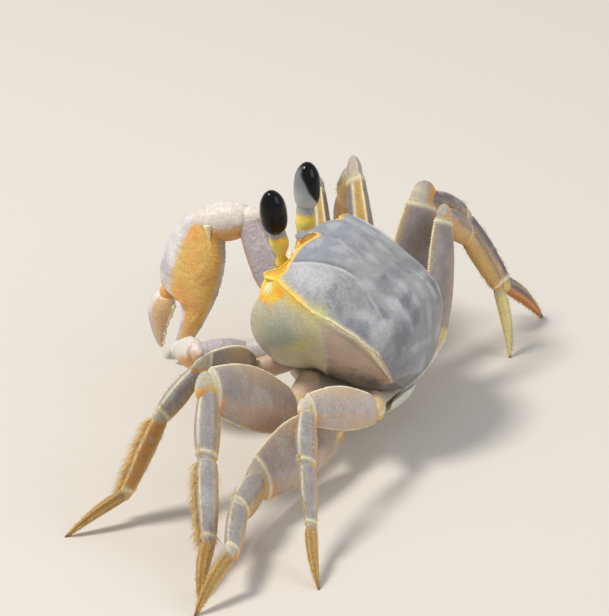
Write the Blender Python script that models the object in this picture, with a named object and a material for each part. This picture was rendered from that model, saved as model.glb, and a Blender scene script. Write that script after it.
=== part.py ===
"""Ghost crab (Ocypode quadrata), a still life-size model standing on its eight walking legs.

The crab is drawn in millimetres in its body's own axes: X to its right, Y forward, Z out of its
back, with the origin in the middle of the plane of the shell's side edges. BODY_POSE then tips
the body nose up and a little to its right, and the limbs are laid out in the standing frame, where
Y is the way the crab heads and the floor is level. Neighbouring pieces are parted by thin cuts.
"""
import math

import bmesh
import bpy
from mathutils import Matrix, Vector

MM = 0.001
GAP = 0.3                     # clear width of the cut between two pieces, mm

# ---- stance ----
PITCH = 30.0                  # nose up, degrees
ROLL = 7.0                    # right side down, degrees
BODY_HEIGHT = 32.5            # floor to the body's origin, mm

# ---- shell, mm ----
SHELL_WIDTH = 44.0
REAR_EDGE_Y = -19.6
FRONT_TOOTH_Y = 22.0          # tip of the narrow front between the eyes
ORBIT_CORNER_Y = 15.6         # outer corner of the eye socket
DOME_HEIGHT = 9.6             # middle of the back above the side edges
REAR_DROP = 8.8               # rear edge below the side edges
EDGE_SLOPE = 0.05             # rise of the side edge towards the front
SHELL_FLOOR_Z = -18.8         # lower edge of the shell's side walls
FLOOR_HOLLOW = 2.6            # the walls hang this far below the shell's underside, beside the legs
BACK_POINTS = 17              # points across the back in one section of the shell
WALL_POINTS = 5               # points down each side wall
REAR_CURVE = 2.5              # the rear edge bows back by this much
SOCKET_DEPTH = 3.6
SOCKET_HEIGHT = 4.6
FACE_MIDDLE = Vector((0.0, 12.6, -12.0))      # where the sections of the face close, in the mouth

# ---- underside, mm ----
CHEST_FLOOR_Z = -23.0         # lowest level of the breast plate
CHEST_REAR_Y = -17.0
CHEST_FRONT_Y = 11.0
FLAP_THICKNESS = 1.2
FLAP_CLEARANCE = 1.3          # middle of the tail flap under the breast plate

# ---- eyes, mm ----
EYE_SPACING = 5.75            # middle of an eye stalk from the middle line
STALK_RADIUS = 1.75
STALK_LENGTH = 9.6
CORNEA_RADIUS = 3.1
CORNEA_LENGTH = 10.4
CORNEA_ASIDE = 0.8            # the cornea hangs over the outer side of its stalk

# ---- walking legs, mm: lengths and depths of base, merus, carpus, propodus and dactyl ----
LEG_PARTS = ("base", "merus", "carpus", "propodus", "dactyl")
LEG_SIZES = {
    1: {"root": (12.5, 6.0, -19.8), "lengths": (8.0, 27.5, 13.6, 18.6, 16.5),
        "depths": (5.0, 11.0, 7.0, 5.6, 3.2)},
    2: {"root": (13.5, -1.5, -20.0), "lengths": (9.8, 32.3, 15.8, 19.5, 17.5),
        "depths": (6.2, 14.4, 8.0, 6.6, 3.8)},
    3: {"root": (13.0, -8.6, -19.0), "lengths": (9.6, 30.3, 14.0, 17.5, 16.5),
        "depths": (6.0, 14.4, 7.8, 6.2, 3.6)},
    4: {"root": (11.0, -15.6, -14.8), "lengths": (10.0, 26.6, 12.8, 14.5, 16.4),
        "depths": (4.8, 9.6, 6.6, 5.2, 3.2)},
}
FLATNESS = (0.92, 0.40, 0.62, 0.66, 0.72)     # thickness of each leg part over its depth
ROOT_CUT = 0.4                                # legs start this far outside their roots
# these legs stand a little further out of the shell, mm
EXTRA_REACH = {("right", 1): 2.6, ("right", 2): 2.3, ("right", 3): 2.1}

# Each row is one leg: how far each part turns forward of straight out, and how far it lifts
# above the level, in degrees. The dactyl's lift is worked out so that its tip meets the floor.
LEG_POSES = {
    ("left", 1): {"turn": (50, -3, 24, 31, 39), "lift": (-8, 26, -35, -58)},
    ("left", 2): {"turn": (-8, 12, -24, -27, -20), "lift": (-12, 30, -41, -41)},
    ("left", 3): {"turn": (-22, 5, -10, -23, 10), "lift": (-18, 1, -1, -4)},
    ("left", 4): {"turn": (-31, 9, -26, -30, -33), "lift": (15, 22, -39, -40)},
    ("right", 1): {"turn": (30.6, 32, 40, 42, 44), "lift": (1.2, 43, -19, -64)},
    ("right", 2): {"turn": (15.8, 34, 40, 36, 67), "lift": (5.8, 53, -41, -51)},
    ("right", 3): {"turn": (5, 10, -19, -81, -22), "lift": (7.4, 52, -38, -58)},
    ("right", 4): {"turn": (-12, 19, -1, -67, -132), "lift": (29, 53, -42, -63)},
}

# ---- claws, mm: joints in the standing frame, from the shoulder to the fingertip ----
CLAW_PARTS = ("base", "merus", "carpus")
CLAWS = {
    "right": {"joints": ((6.8, 16.4, 16.4), (9.5, 26.8, 19.3), (15.8, 38.9, 37.1), (13.6, 47.8, 36.0)),
              "tip": (10.5, 59.7, 2.6), "finger_side": (0.25, 1.0, 0.25), "depths": (6.0, 9.0, 9.5),
              "hand_height": 16.0, "hand_thickness": 8.4, "palm_share": 0.56},
    "left": {"joints": ((-10.6, 16.4, 20.2), (-12.5, 24.8, 19.5), (-18.5, 34.5, 20.0), (-14.0, 40.0, 17.5)),
             "tip": (8.5, 43.0, 2.6), "finger_side": (-0.1, 1.0, 0.2), "depths": (5.6, 7.2, 7.2),
             "hand_height": 11.0, "hand_thickness": 5.6, "palm_share": 0.54},
}

SHELL_COLOUR = (0.50, 0.49, 0.53)
LEG_COLOUR = (0.55, 0.50, 0.47)
JOINT_COLOUR = (0.78, 0.52, 0.16)
CREAM = (0.80, 0.76, 0.60)
EYE_BLACK = (0.012, 0.012, 0.014)

BODY_POSE = (Matrix.Translation((0.0, 0.0, BODY_HEIGHT))
             @ Matrix.Rotation(math.radians(PITCH), 4, "X")
             @ Matrix.Rotation(math.radians(ROLL), 4, "Y"))


# ---------------------------------------------------------------- helpers

def clear_scene():
    for old in list(bpy.data.objects):
        bpy.data.objects.remove(old, do_unlink=True)


def new_collection(name):
    made = bpy.data.collections.new(name)
    bpy.context.scene.collection.children.link(made)
    return made


def material(name, colour, roughness):
    made = bpy.data.materials.get(name) or bpy.data.materials.new(name)
    made.use_nodes = True
    shader = made.node_tree.nodes["Principled BSDF"]
    shader.inputs["Base Color"].default_value = (*colour, 1.0)
    shader.inputs["Roughness"].default_value = roughness
    shader.inputs["Metallic"].default_value = 0.0
    return made


def loft(rings):
    """A closed mesh through rings of equally many points, each end closed by one face."""
    mesh = bmesh.new()
    rows = [[mesh.verts.new(point) for point in ring] for ring in rings]
    count = len(rings[0])
    for near, far in zip(rows, rows[1:]):
        for i in range(count):
            j = (i + 1) % count
            mesh.faces.new((near[i], near[j], far[j], far[i]))
    mesh.faces.new(list(reversed(rows[0])))
    mesh.faces.new(rows[-1])
    bmesh.ops.recalc_face_normals(mesh, faces=mesh.faces)
    return mesh


def cut_away(mesh, point, normal):
    """Remove what lies beyond the plane, on the side the normal points to, and close the cut."""
    bmesh.ops.bisect_plane(mesh, geom=mesh.verts[:] + mesh.edges[:] + mesh.faces[:], dist=1e-5,
                           plane_co=point, plane_no=normal, clear_outer=True)
    rim = [edge for edge in mesh.edges if edge.is_boundary]
    if rim:
        bmesh.ops.contextual_create(mesh, geom=rim)
    bmesh.ops.recalc_face_normals(mesh, faces=mesh.faces)


def add_piece(name, mesh, skin, home, smooth_below=50.0):
    """Turn a mesh drawn in millimetres into a named object in metres."""
    bmesh.ops.scale(mesh, vec=(MM, MM, MM), verts=mesh.verts)
    bmesh.ops.remove_doubles(mesh, verts=mesh.verts, dist=2e-5)
    data = bpy.data.meshes.new(name)
    mesh.to_mesh(data)
    mesh.free()
    data.materials.append(skin)
    data.shade_smooth()
    data.set_sharp_from_angle(angle=math.radians(smooth_below))
    piece = bpy.data.objects.new(name, data)
    home.objects.link(piece)
    return piece


def swell(share, start, peak, end, where):
    """A width that rises smoothly from start to its peak and falls again to end."""
    if share < where:
        return start + (peak - start) * math.sin(0.5 * math.pi * share / where)
    return end + (peak - end) * math.cos(0.5 * math.pi * (share - where) / (1.0 - where))


def blend(low, high, share):
    return low + (high - low) * share


# ---------------------------------------------------------------- limbs

# For each limb part: half depths over and under its axis at its start, widest place and end,
# as shares of its depth, and the place of the widest; then the sides of its section.
OUTLINES = {
    "base": {"over": (0.50, 0.52, 0.46, 0.40), "under": (0.50, 0.52, 0.42, 0.40), "sides": 8},
    "merus": {"over": (0.25, 0.55, 0.36, 0.52), "under": (0.24, 0.45, 0.30, 0.45), "sides": 10},
    "carpus": {"over": (0.36, 0.54, 0.44, 0.60), "under": (0.34, 0.46, 0.36, 0.55), "sides": 8},
    "propodus": {"over": (0.46, 0.54, 0.36, 0.35), "under": (0.42, 0.46, 0.32, 0.35), "sides": 8},
    "dactyl": {"over": (0.46, 0.50, 0.11, 0.15), "under": (0.46, 0.50, 0.11, 0.15), "sides": 8},
}
STATIONS = {
    "base": (0.0, 0.5, 1.0),
    "merus": (0.0, 0.16, 0.36, 0.58, 0.80, 1.0),
    "carpus": (0.0, 0.35, 0.7, 1.0),
    "propodus": (0.0, 0.3, 0.65, 1.0),
    "dactyl": (0.0, 0.3, 0.62, 0.86, 1.0),
}
THIN_EDGE = {"base": 1.0, "merus": 1.25, "carpus": 1.05, "propodus": 1.1, "dactyl": 1.0}
DOME_ANGLES = (28.0, 62.0)    # where a rounded end has its rings
DACTYL_BOW = 0.05             # sideways bow of a dactyl over its length


def limb_frame(start, end, plane_normal):
    """Axis, upward and sideways directions of a limb part that lies in the limb's plane."""
    along = (end - start).normalized()
    up = plane_normal.cross(along).normalized()
    return along, up, along.cross(up)


def limb_mesh(kind, start, end, depth, thickness, plane_normal):
    """A limb part with rounded ends centred on its joints, flattened across the limb's plane."""
    along, up, side = limb_frame(start, end, plane_normal)
    outline = OUTLINES[kind]
    length = (end - start).length
    bow = DACTYL_BOW * length if kind == "dactyl" else 0.0

    def ring(distance, shrink):
        share = min(max(distance / length, 0.0), 1.0)
        over = swell(share, *outline["over"]) * depth * shrink
        under = swell(share, *outline["under"]) * depth * shrink
        half_thick = 0.5 * thickness * (over + under) / (depth * shrink) * shrink
        centre = start + along * distance + up * bow * math.sin(math.pi * share)
        points = []
        for i in range(outline["sides"]):
            angle = 2.0 * math.pi * i / outline["sides"]
            rise = math.cos(angle)
            spread = math.sin(angle)
            reach = over if rise > 0.0 else under
            spread = math.copysign(abs(spread) ** THIN_EDGE[kind], spread)
            points.append(centre + up * reach * rise + side * half_thick * spread)
        return points

    first = 0.5 * depth * (outline["over"][0] + outline["under"][0])
    last = 0.5 * depth * (outline["over"][2] + outline["under"][2])
    rings = [ring(-first * math.cos(math.radians(a)), math.sin(math.radians(a))) for a in DOME_ANGLES]
    rings += [ring(share * length, 1.0) for share in STATIONS[kind]]
    rings += [ring(length + last * math.cos(math.radians(a)), math.sin(math.radians(a)))
              for a in reversed(DOME_ANGLES)]
    return loft(rings)


def mitre(joint, before, after):
    """The plane that halves the bend at a joint."""
    return ((joint - before).normalized() + (after - joint).normalized()).normalized()


def part_at_joints(meshes, joints):
    """Cut each pair of neighbours in a limb apart along the plane that halves their bend."""
    for i in range(1, len(meshes)):
        normal = mitre(joints[i], joints[i - 1], joints[i + 1])
        cut_away(meshes[i - 1], joints[i] - normal * GAP / 2, normal)
        cut_away(meshes[i], joints[i] + normal * GAP / 2, -normal)


def leg_joints(side, number):
    """The leg's joints in the standing frame, from its root to its tip on the floor."""
    sizes = LEG_SIZES[number]
    pose = LEG_POSES[(side, number)]
    outward = 1.0 if side == "right" else -1.0
    x, y, z = sizes["root"]
    joints = [BODY_POSE @ Vector((outward * x, y, z))]
    for i, length in enumerate(sizes["lengths"]):
        length += EXTRA_REACH.get((side, number), 0.0) * (i == 0)
        turn = math.radians(pose["turn"][i])
        if i < len(pose["lift"]):
            lift = math.radians(pose["lift"][i])
        else:
            lift = -math.asin(joints[-1].z / length)
        step = Vector((outward * math.cos(lift) * math.cos(turn), math.cos(lift) * math.sin(turn),
                       math.sin(lift)))
        joints.append(joints[-1] + step * length)
    return joints


def leg_plane_normal(joints):
    """The leg's plane holds its hip, knee and foot, steadied by the upright plane through them."""
    hip, knee, foot = joints[1], joints[2], joints[5]
    bent = (knee - hip).normalized().cross((foot - hip).normalized())
    upright = Vector((0.0, 0.0, 1.0)).cross((foot - hip).normalized())
    return (bent + 0.35 * upright * math.copysign(1.0, bent.dot(upright))).normalized()


def chest_side(y):
    """Half width of the breast plate beside a leg root."""
    return 13.4 - 0.011 * (y + 2.5) ** 2


def build_leg(side, number, home, skins):
    sizes = LEG_SIZES[number]
    joints = leg_joints(side, number)
    normal = leg_plane_normal(joints)
    if normal.cross(joints[2] - joints[1]).z < 0.0:
        normal = -normal
    meshes = []
    for i, kind in enumerate(LEG_PARTS):
        depth = sizes["depths"][i]
        meshes.append(limb_mesh(kind, joints[i], joints[i + 1], depth, depth * FLATNESS[i], normal))
    part_at_joints(meshes, joints)
    outward = 1.0 if side == "right" else -1.0
    root = sizes["root"]
    wall = BODY_POSE @ Vector((outward * (root[0] + ROOT_CUT), root[1], root[2]))
    inward = BODY_POSE.to_3x3() @ Vector((-outward, 0.0, 0.0))
    cut_away(meshes[0], wall, inward)
    cut_away(meshes[4], Vector((0.0, 0.0, 0.0)), Vector((0.0, 0.0, -1.0)))
    for kind, mesh in zip(LEG_PARTS, meshes):
        skin = skins["joint"] if kind in ("base", "dactyl") else skins["leg"]
        add_piece(f"{side}_leg_{number}_{kind}", mesh, skin, home)


# ---------------------------------------------------------------- claws

def hand_mesh(wrist, tip, finger_side, height, thickness, palm_share):
    """Palm and fixed finger in one: full height to the finger's hinge, then the lower finger."""
    along = (tip - wrist).normalized()
    side = along.cross(finger_side).normalized()
    up = side.cross(along)
    length = (tip - wrist).length
    half = 0.5 * height
    # share of the length, top and bottom over half the height, thickness over the full one
    stations = (
        (-0.05, 0.16, -0.16, 0.36), (0.0, 0.40, -0.36, 0.62), (0.07, 0.68, -0.60, 0.82),
        (0.18, 0.92, -0.84, 0.97), (0.32, 1.0, -0.97, 1.0), (0.45, 0.98, -1.0, 0.95),
        (palm_share, 0.82, -0.98, 0.84), (palm_share + 0.03, -0.02, -0.96, 0.66),
        (0.68, -0.22, -0.90, 0.54), (0.80, -0.28, -0.78, 0.42), (0.91, -0.28, -0.62, 0.28),
        (0.97, -0.26, -0.50, 0.18), (1.0, -0.28, -0.42, 0.10),
    )
    rings = []
    for share, top, bottom, thick in stations:
        centre = wrist + along * length * share + up * half * 0.5 * (top + bottom)
        reach = 0.5 * half * (top - bottom)
        rings.append([centre + up * reach * math.cos(math.radians(30 * i))
                      + side * 0.5 * thickness * thick * math.sin(math.radians(30 * i))
                      for i in range(12)])
    return loft(rings), along, up, side


def finger_mesh(hinge, tip, up, side, height, thickness):
    """The moving finger, bowed over the fixed one."""
    along = (tip - hinge).normalized()
    length = (tip - hinge).length
    stations = ((-0.03, 0.45), (0.08, 0.86), (0.26, 1.0), (0.5, 0.86), (0.75, 0.6), (0.92, 0.34), (1.0, 0.16))
    rings = []
    for share, girth in stations:
        centre = hinge + along * length * share + up * 0.13 * length * math.sin(math.pi * max(share, 0.0))
        rings.append([centre + up * 0.5 * height * girth * math.cos(math.radians(45 * i))
                      + side * 0.5 * thickness * girth * math.sin(math.radians(45 * i))
                      for i in range(8)])
    return loft(rings)


def build_claw(side, home, skins):
    claw = CLAWS[side]
    joints = [Vector(point) for point in claw["joints"]]
    tip = Vector(claw["tip"])
    finger_side = Vector(claw["finger_side"])
    meshes = []
    for i, kind in enumerate(CLAW_PARTS):
        depth = claw["depths"][i]
        plane = (joints[i + 1] - joints[i]).cross(Vector((0.0, 0.0, 1.0))).normalized()
        meshes.append(limb_mesh(kind, joints[i], joints[i + 1], depth, depth * 0.86, -plane))
    palm, along, up, across = hand_mesh(joints[3], tip, finger_side, claw["hand_height"],
                                        claw["hand_thickness"], claw["palm_share"])
    meshes.append(palm)
    part_at_joints(meshes, joints + [tip])
    outward = 1.0 if side == "right" else -1.0
    shoulder = BODY_POSE @ Vector((outward * 9.9, 9.6, -19.0))
    cut_away(meshes[0], shoulder, BODY_POSE.to_3x3() @ Vector((-outward * 0.8, -0.6, 0.0)))
    length = (tip - joints[3]).length
    half = 0.5 * claw["hand_height"]
    hinge = joints[3] + along * length * (claw["palm_share"] + 0.085) + up * half * 0.52
    finger_tip = joints[3] + along * length * 0.995 + up * half * 0.16
    finger = finger_mesh(hinge, finger_tip, up, across, 0.40 * claw["hand_height"],
                         0.56 * claw["hand_thickness"])
    names = CLAW_PARTS + ("palm",)
    for kind, mesh in zip(names, meshes):
        skin = skins["joint"] if kind in ("base", "merus") else skins["claw"]
        add_piece(f"{side}_claw_{kind}", mesh, skin, home)
    add_piece(f"{side}_claw_finger", finger, skins["claw"], home)


# ---------------------------------------------------------------- body

def shell_half_width(share):
    """Half width of the back at its side edges, from the rear (0) to the front (1)."""
    rear = 1.0 - 0.5 * (1.0 - min(share / 0.7, 1.0)) ** 2.6
    front = 1.0 - 0.05 * max(0.0, (share - 0.72) / 0.28) ** 2
    return 0.5 * SHELL_WIDTH * rear * front


def front_edge(across):
    """Front edge of the back: the narrow front, the hollow edge over each eye, the outer corner."""
    a = abs(across)
    tooth = FRONT_TOOTH_Y - 15.8
    corner = ORBIT_CORNER_Y - 14.6
    return (14.9 + tooth * math.exp(-((a / 0.20) ** 4)) + corner * a ** 6
            + 1.9 * math.sin(math.pi * min(max((a - 0.18) / 0.72, 0.0), 1.0)))


def edge_height(y):
    """Level of the side edge: nearly straight, dropping to the rear."""
    rear = max(0.0, -y / 18.0 - 0.5) / 0.5
    return EDGE_SLOPE * y - REAR_DROP * rear ** 2


def back_height(across, y):
    """Level of the back: a dome that flattens forward and bends down at the narrow front."""
    lengthwise = math.sqrt(max(0.0, 1.0 - abs((y + 0.8) / 19.8) ** 3.0))
    dome = DOME_HEIGHT * (0.35 + 0.65 * lengthwise) * (1.0 - abs(across) ** 2.4)
    bend = 2.6 * max(0.0, (y - 13.5) / 7.0) ** 2 * (1.0 - min(abs(across), 1.0) ** 2)
    return edge_height(y) + dome - bend


def shell_ring(share):
    """One section of the shell: over the back, down a side wall, across the floor and up again."""
    half = shell_half_width(share)
    points = []
    for i in range(BACK_POINTS):
        across = 2.0 * i / (BACK_POINTS - 1) - 1.0
        y = blend(REAR_EDGE_Y + REAR_CURVE * across ** 2, front_edge(across), share)
        points.append(Vector((across * half, y, back_height(across, y))))
    for i in range(1, WALL_POINTS + 1):
        points.append(wall_point(share, half, i / WALL_POINTS, 1.0))
    corner = wall_point(share, half, 1.0, 1.0)
    for across in (0.86, 0.0, -0.86):
        points.append(Vector((across * corner.x, corner.y, corner.z + FLOOR_HOLLOW * fullness(share))))
    for i in range(WALL_POINTS, 0, -1):
        points.append(wall_point(share, half, i / WALL_POINTS, -1.0))
    return points


def fullness(share):
    """How steep the side walls stand: 0 at the rear, where they turn under, 1 in front."""
    rise = min(max((share - 0.50) / 0.36, 0.0), 1.0)
    return rise * rise * (3.0 - 2.0 * rise)


def wall_point(share, half, down, outward):
    """A point on the side wall; down runs from 0 at the side edge to 1 at the lower edge."""
    full = fullness(share)
    rear_y = REAR_EDGE_Y + REAR_CURVE * (1.0 + down)
    front_y = ORBIT_CORNER_Y + 1.6 * math.sin(math.pi * down) - 5.4 * down ** 3
    y = blend(rear_y, front_y, share)
    floor = SHELL_FLOOR_Z + 3.4 * (1.0 - share) ** 3 + 1.0 * full
    bulge = 0.06 * math.sin(math.pi * down) * share
    tuck = blend(0.60, 0.16, full) * down ** (blend(1.6, 3.4, share) + 2.6 * full)
    return Vector((outward * half * (1.0 + bulge - tuck), y, blend(edge_height(y), floor, down)))


def face_ring(front, inset, back, drop, recede, lobe, scale=1.0, sink=0.0, muzzle=0.0):
    """The front section carried inwards: its upper edge goes under the brow and round the sockets."""
    points = []
    for i, point in enumerate(front):
        inner = FACE_MIDDLE + (point - FACE_MIDDLE) * (1.0 - inset)
        forward = -sink
        if i >= BACK_POINTS:
            down = min(i - BACK_POINTS + 1, len(front) - i) / WALL_POINTS
            forward += lobe * math.exp(-((down / 0.36) ** 2)) * (down <= 1.0)
        else:
            across = 2.0 * i / (BACK_POINTS - 1) - 1.0
            hollow = socket_depth(across)
            forward += lobe * math.exp(-(((abs(across) - 0.96) / 0.20) ** 2))
            inner = Vector((point.x * (1.0 - 0.5 * inset), blend(point.y, 15.9, recede) - 0.4 - back * hollow,
                            point.z - drop * (0.35 + 0.65 * hollow) - 2.0 * inset))
            forward += muzzle * math.exp(-((across / 0.45) ** 4))
        points.append(FACE_MIDDLE + (inner - FACE_MIDDLE) * scale + Vector((0.0, forward, 0.0)))
    return points


def socket_depth(across):
    """How deep the eye socket is behind the front edge, as a share of its depth."""
    a = min(abs(across), 1.0)
    return math.sin(math.pi * min(max((a - 0.08) / 0.88, 0.0), 1.0)) ** 0.6


def build_shell(home, skins):
    shares = (0.0, 0.05, 0.11, 0.18, 0.27, 0.37, 0.47, 0.57, 0.67, 0.76, 0.84, 0.91, 0.96, 1.0)
    rings = [shell_ring(share) for share in shares]
    front = rings[-1]
    rings.append(face_ring(front, 0.02, 0.2, 0.7, 0.0, 0.0))
    rings.append(face_ring(front, 0.06, SOCKET_DEPTH, 1.3, 0.2, 0.4))
    rings.append(face_ring(front, 0.10, SOCKET_DEPTH, SOCKET_HEIGHT, 0.6, 2.0))
    low = SOCKET_HEIGHT + 1.4
    rings.append(face_ring(front, 0.14, -1.4, low, 0.8, 3.0, 1.0, 0.0, 0.6))
    for lobe, scale, sink, muzzle in ((1.2, 0.68, 0.2, 2.0), (0.4, 0.50, 0.3, 1.2), (0.0, 0.46, 3.8, 0.0)):
        rings.append(face_ring(front, 0.20, -1.2, low, 0.8, lobe, scale, sink, muzzle))
    rear_middle = Vector((0.0, REAR_EDGE_Y + 1.2, -13.8))
    rings.insert(0, [rear_middle + (point - rear_middle) * 0.6 for point in rings[0]])
    add_piece("carapace", body_mesh(rings), skins["shell"], home)


def body_mesh(rings):
    """A loft drawn in the body's axes and moved into the standing frame."""
    return loft([[BODY_POSE @ point for point in ring] for ring in rings])


def chest_floor(y):
    """Half girth share and lowest level of the breast plate at a place along the body."""
    share = (y - CHEST_REAR_Y) / (CHEST_FRONT_Y - CHEST_REAR_Y)
    girth = math.sin(math.radians(blend(28.0, 152.0, share))) ** 0.5
    return girth, CHEST_FLOOR_Z + 1.6 * (1.0 - girth) + 4.2 * max(0.0, (-y - 8.0) / 9.0)


def build_chest(home, skins):
    """The breast plate between the legs, under the shell."""
    rings = []
    for i in range(8):
        share = i / 7.0
        y = blend(CHEST_REAR_Y, CHEST_FRONT_Y, share)
        girth, floor = chest_floor(y)
        half = chest_side(y) * girth
        along_shell = min(max((y + 14.6) / 24.8, 0.0), 1.0)
        roof = SHELL_FLOOR_Z - GAP + 3.0 * (1.0 - along_shell) ** 3
        roof += (1.0 + FLOOR_HOLLOW) * fullness(along_shell - 0.16)
        rings.append([Vector((half, y, roof)), Vector((half, y, blend(roof, floor, 0.55))),
                      Vector((0.55 * half, y, floor)), Vector((-0.55 * half, y, floor)),
                      Vector((-half, y, blend(roof, floor, 0.55))), Vector((-half, y, roof))])
    add_piece("breast_plate", body_mesh(rings), skins["pale"], home)


def build_abdomen(home, skins):
    """The narrow tail flap, folded from the rear edge under the breast plate."""
    path = [Vector((0.0, -18.5, -15.3)), Vector((0.0, -18.7, -17.2)), Vector((0.0, -17.8, -19.1))]
    for y in (-15.0, -12.0, -9.0, -6.0, -3.0, 0.0, 3.0):
        path.append(Vector((0.0, y, chest_floor(y)[1] - FLAP_CLEARANCE)))
    rings = []
    for i, middle in enumerate(path):
        before = path[max(i - 1, 0)]
        after = path[min(i + 1, len(path) - 1)]
        inward = Vector((1.0, 0.0, 0.0)).cross((after - before).normalized())
        half = blend(6.2, 1.8, (i / (len(path) - 1)) ** 1.3)
        outline = ((1.0, 0.1), (0.6, -0.5), (-0.6, -0.5), (-1.0, 0.1), (-0.6, 0.5), (0.6, 0.5))
        rings.append([middle + Vector((half * x, 0.0, 0.0)) + inward * FLAP_THICKNESS * z
                      for x, z in outline])
    add_piece("abdomen", body_mesh(rings), skins["pale"], home)


def build_mouthparts(home, skins):
    """The pair of outer mouth plates that close the mouth like doors."""
    for side, outward in (("left", -1.0), ("right", 1.0)):
        rings = []
        for i in range(6):
            share = i / 5.0
            z = blend(-18.6, -7.6, share)
            y = blend(12.6, 15.0, share)
            inner = 0.25
            outer = swell(share, 5.6, 8.0, 5.6, 0.55)
            points = []
            for k in range(8):
                angle = math.radians(45 * k)
                x = blend(inner, outer, 0.5 + 0.5 * math.cos(angle))
                points.append(Vector((outward * x, y + 1.0 * math.sin(angle), z)))
            rings.append(points)
        add_piece(f"{side}_mouth_plate", body_mesh(rings), skins["pale"], home)


def build_eye(side, home, skins):
    """An upright stalk with the long black cornea over its end."""
    outward = 1.0 if side == "right" else -1.0
    foot = BODY_POSE @ Vector((outward * EYE_SPACING, 18.9, -4.3))
    lean = Vector((outward * 0.14, 0.0, 1.0)).normalized()
    side_way = lean.cross(Vector((0.0, 1.0, 0.0))).normalized()
    front_way = side_way.cross(lean)

    def ring(height, radius, aside, flat=1.0):
        centre = foot + lean * height + Vector((outward * aside, 0.0, 0.0))
        return [centre + side_way * radius * math.cos(math.radians(36 * i))
                + front_way * radius * flat * math.sin(math.radians(36 * i)) for i in range(10)]

    stalk_profile = ((0.0, 0.72), (0.10, 0.86), (0.20, 0.74), (0.28, 0.58), (0.38, 0.74), (0.52, 1.10),
                     (0.68, 1.26), (0.84, 1.14), (1.0, 1.04))
    stalk = [ring(share * STALK_LENGTH, girth * STALK_RADIUS, 0.5 * CORNEA_ASIDE * share ** 2)
             for share, girth in stalk_profile]
    add_piece(f"{side}_eye_stalk", loft(stalk), skins["stalk"], home)
    bottom = STALK_LENGTH + GAP
    cornea_profile = ((0.0, 0.64), (0.10, 0.86), (0.28, 0.98), (0.48, 1.0), (0.68, 0.92), (0.86, 0.66),
                      (0.97, 0.3))
    cornea = [ring(bottom + share * CORNEA_LENGTH, girth * CORNEA_RADIUS, CORNEA_ASIDE, 0.97)
              for share, girth in cornea_profile]
    add_piece(f"{side}_cornea", loft(cornea), skins["eye"], home)


def stand_at_origin(pieces):
    """Shift the whole crab so that the middle of its footprint box is the origin."""
    corners = [vertex.co for piece in pieces for vertex in piece.data.vertices]
    low = Vector([min(corner[i] for corner in corners) for i in range(3)])
    high = Vector([max(corner[i] for corner in corners) for i in range(3)])
    shift = Vector((-0.5 * (low.x + high.x), -0.5 * (low.y + high.y), -low.z))
    return shift


def main():
    clear_scene()
    home = new_collection("ghost_crab")
    skins = {
        "shell": material("shell", SHELL_COLOUR, 0.5),
        "leg": material("leg", LEG_COLOUR, 0.5),
        "joint": material("joint", JOINT_COLOUR, 0.45),
        "claw": material("claw", (0.66, 0.60, 0.54), 0.45),
        "pale": material("pale", CREAM, 0.5),
        "stalk": material("stalk", (0.72, 0.66, 0.34), 0.4),
        "eye": material("eye", EYE_BLACK, 0.08),
    }
    build_shell(home, skins)
    build_chest(home, skins)
    build_abdomen(home, skins)
    build_mouthparts(home, skins)
    for side in ("left", "right"):
        build_eye(side, home, skins)
        build_claw(side, home, skins)
        for number in LEG_SIZES:
            build_leg(side, number, home, skins)
    shift = stand_at_origin(list(home.objects))
    for piece in home.objects:
        piece.location = shift


main()
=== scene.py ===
"""The looks of the ghost crab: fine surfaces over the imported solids, markings, setae, light and camera.

Lengths are millimetres until a mesh is made. The body is drawn in its own axes (X to the crab's
right, Y forward, Z out of its back) and turned into the standing frame, as the solids are. Every
surface is a grid of points; its colours are worked out per point and stored in "paint", and how grainy
it is in "grain". Fine speckle and granules come from the materials.
"""
import itertools
import math

import bpy
import numpy as np
from mathutils import Matrix, Vector


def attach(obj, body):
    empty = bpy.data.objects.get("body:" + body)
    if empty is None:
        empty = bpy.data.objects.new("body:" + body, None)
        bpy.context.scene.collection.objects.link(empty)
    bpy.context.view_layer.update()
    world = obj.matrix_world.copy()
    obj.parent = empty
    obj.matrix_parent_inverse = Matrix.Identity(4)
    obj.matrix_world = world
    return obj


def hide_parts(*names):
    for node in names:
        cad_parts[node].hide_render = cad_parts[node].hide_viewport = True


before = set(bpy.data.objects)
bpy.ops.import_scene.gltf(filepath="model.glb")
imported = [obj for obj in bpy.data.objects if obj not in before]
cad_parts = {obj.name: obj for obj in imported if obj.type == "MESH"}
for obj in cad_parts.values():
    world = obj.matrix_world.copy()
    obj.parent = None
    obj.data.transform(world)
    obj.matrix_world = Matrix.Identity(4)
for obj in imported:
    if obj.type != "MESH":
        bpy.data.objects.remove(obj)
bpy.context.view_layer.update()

MM = 0.001
TAU = 2.0 * math.pi
SIDES = {"left": -1.0, "right": 1.0}      # which way each side of the crab lies along X

# ---- stance, as the solids have it ----
STAND_SHIFT = np.array((17.318, -19.146, 0.0))      # the standing frame's origin in the model's frame
BODY_AT = STAND_SHIFT + (0.0, 0.0, 32.5)
PITCH = math.radians(30.0)
ROLL = math.radians(7.0)

# ---- shell ----
SHELL_WIDTH = 44.0
REAR_EDGE_Y = -19.6
REAR_CURVE = 2.5
FRONT_TOOTH_Y = 22.0
ORBIT_CORNER_Y = 15.6
DOME_HEIGHT = 9.6
REAR_DROP = 8.8
EDGE_SLOPE = 0.05
SHELL_FLOOR_Z = -18.8
FLOOR_HOLLOW = 2.6            # the walls hang this far below the underside, beside the legs
FACE_MIDDLE = np.array((0.0, 12.6, -12.0))
CHEST_FLOOR_Z = -23.0
CHEST_REAR_Y = -17.0
CHEST_FRONT_Y = 11.0

# ---- walking legs ----
LEG_PARTS = ("base", "merus", "carpus", "propodus", "dactyl")
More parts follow.
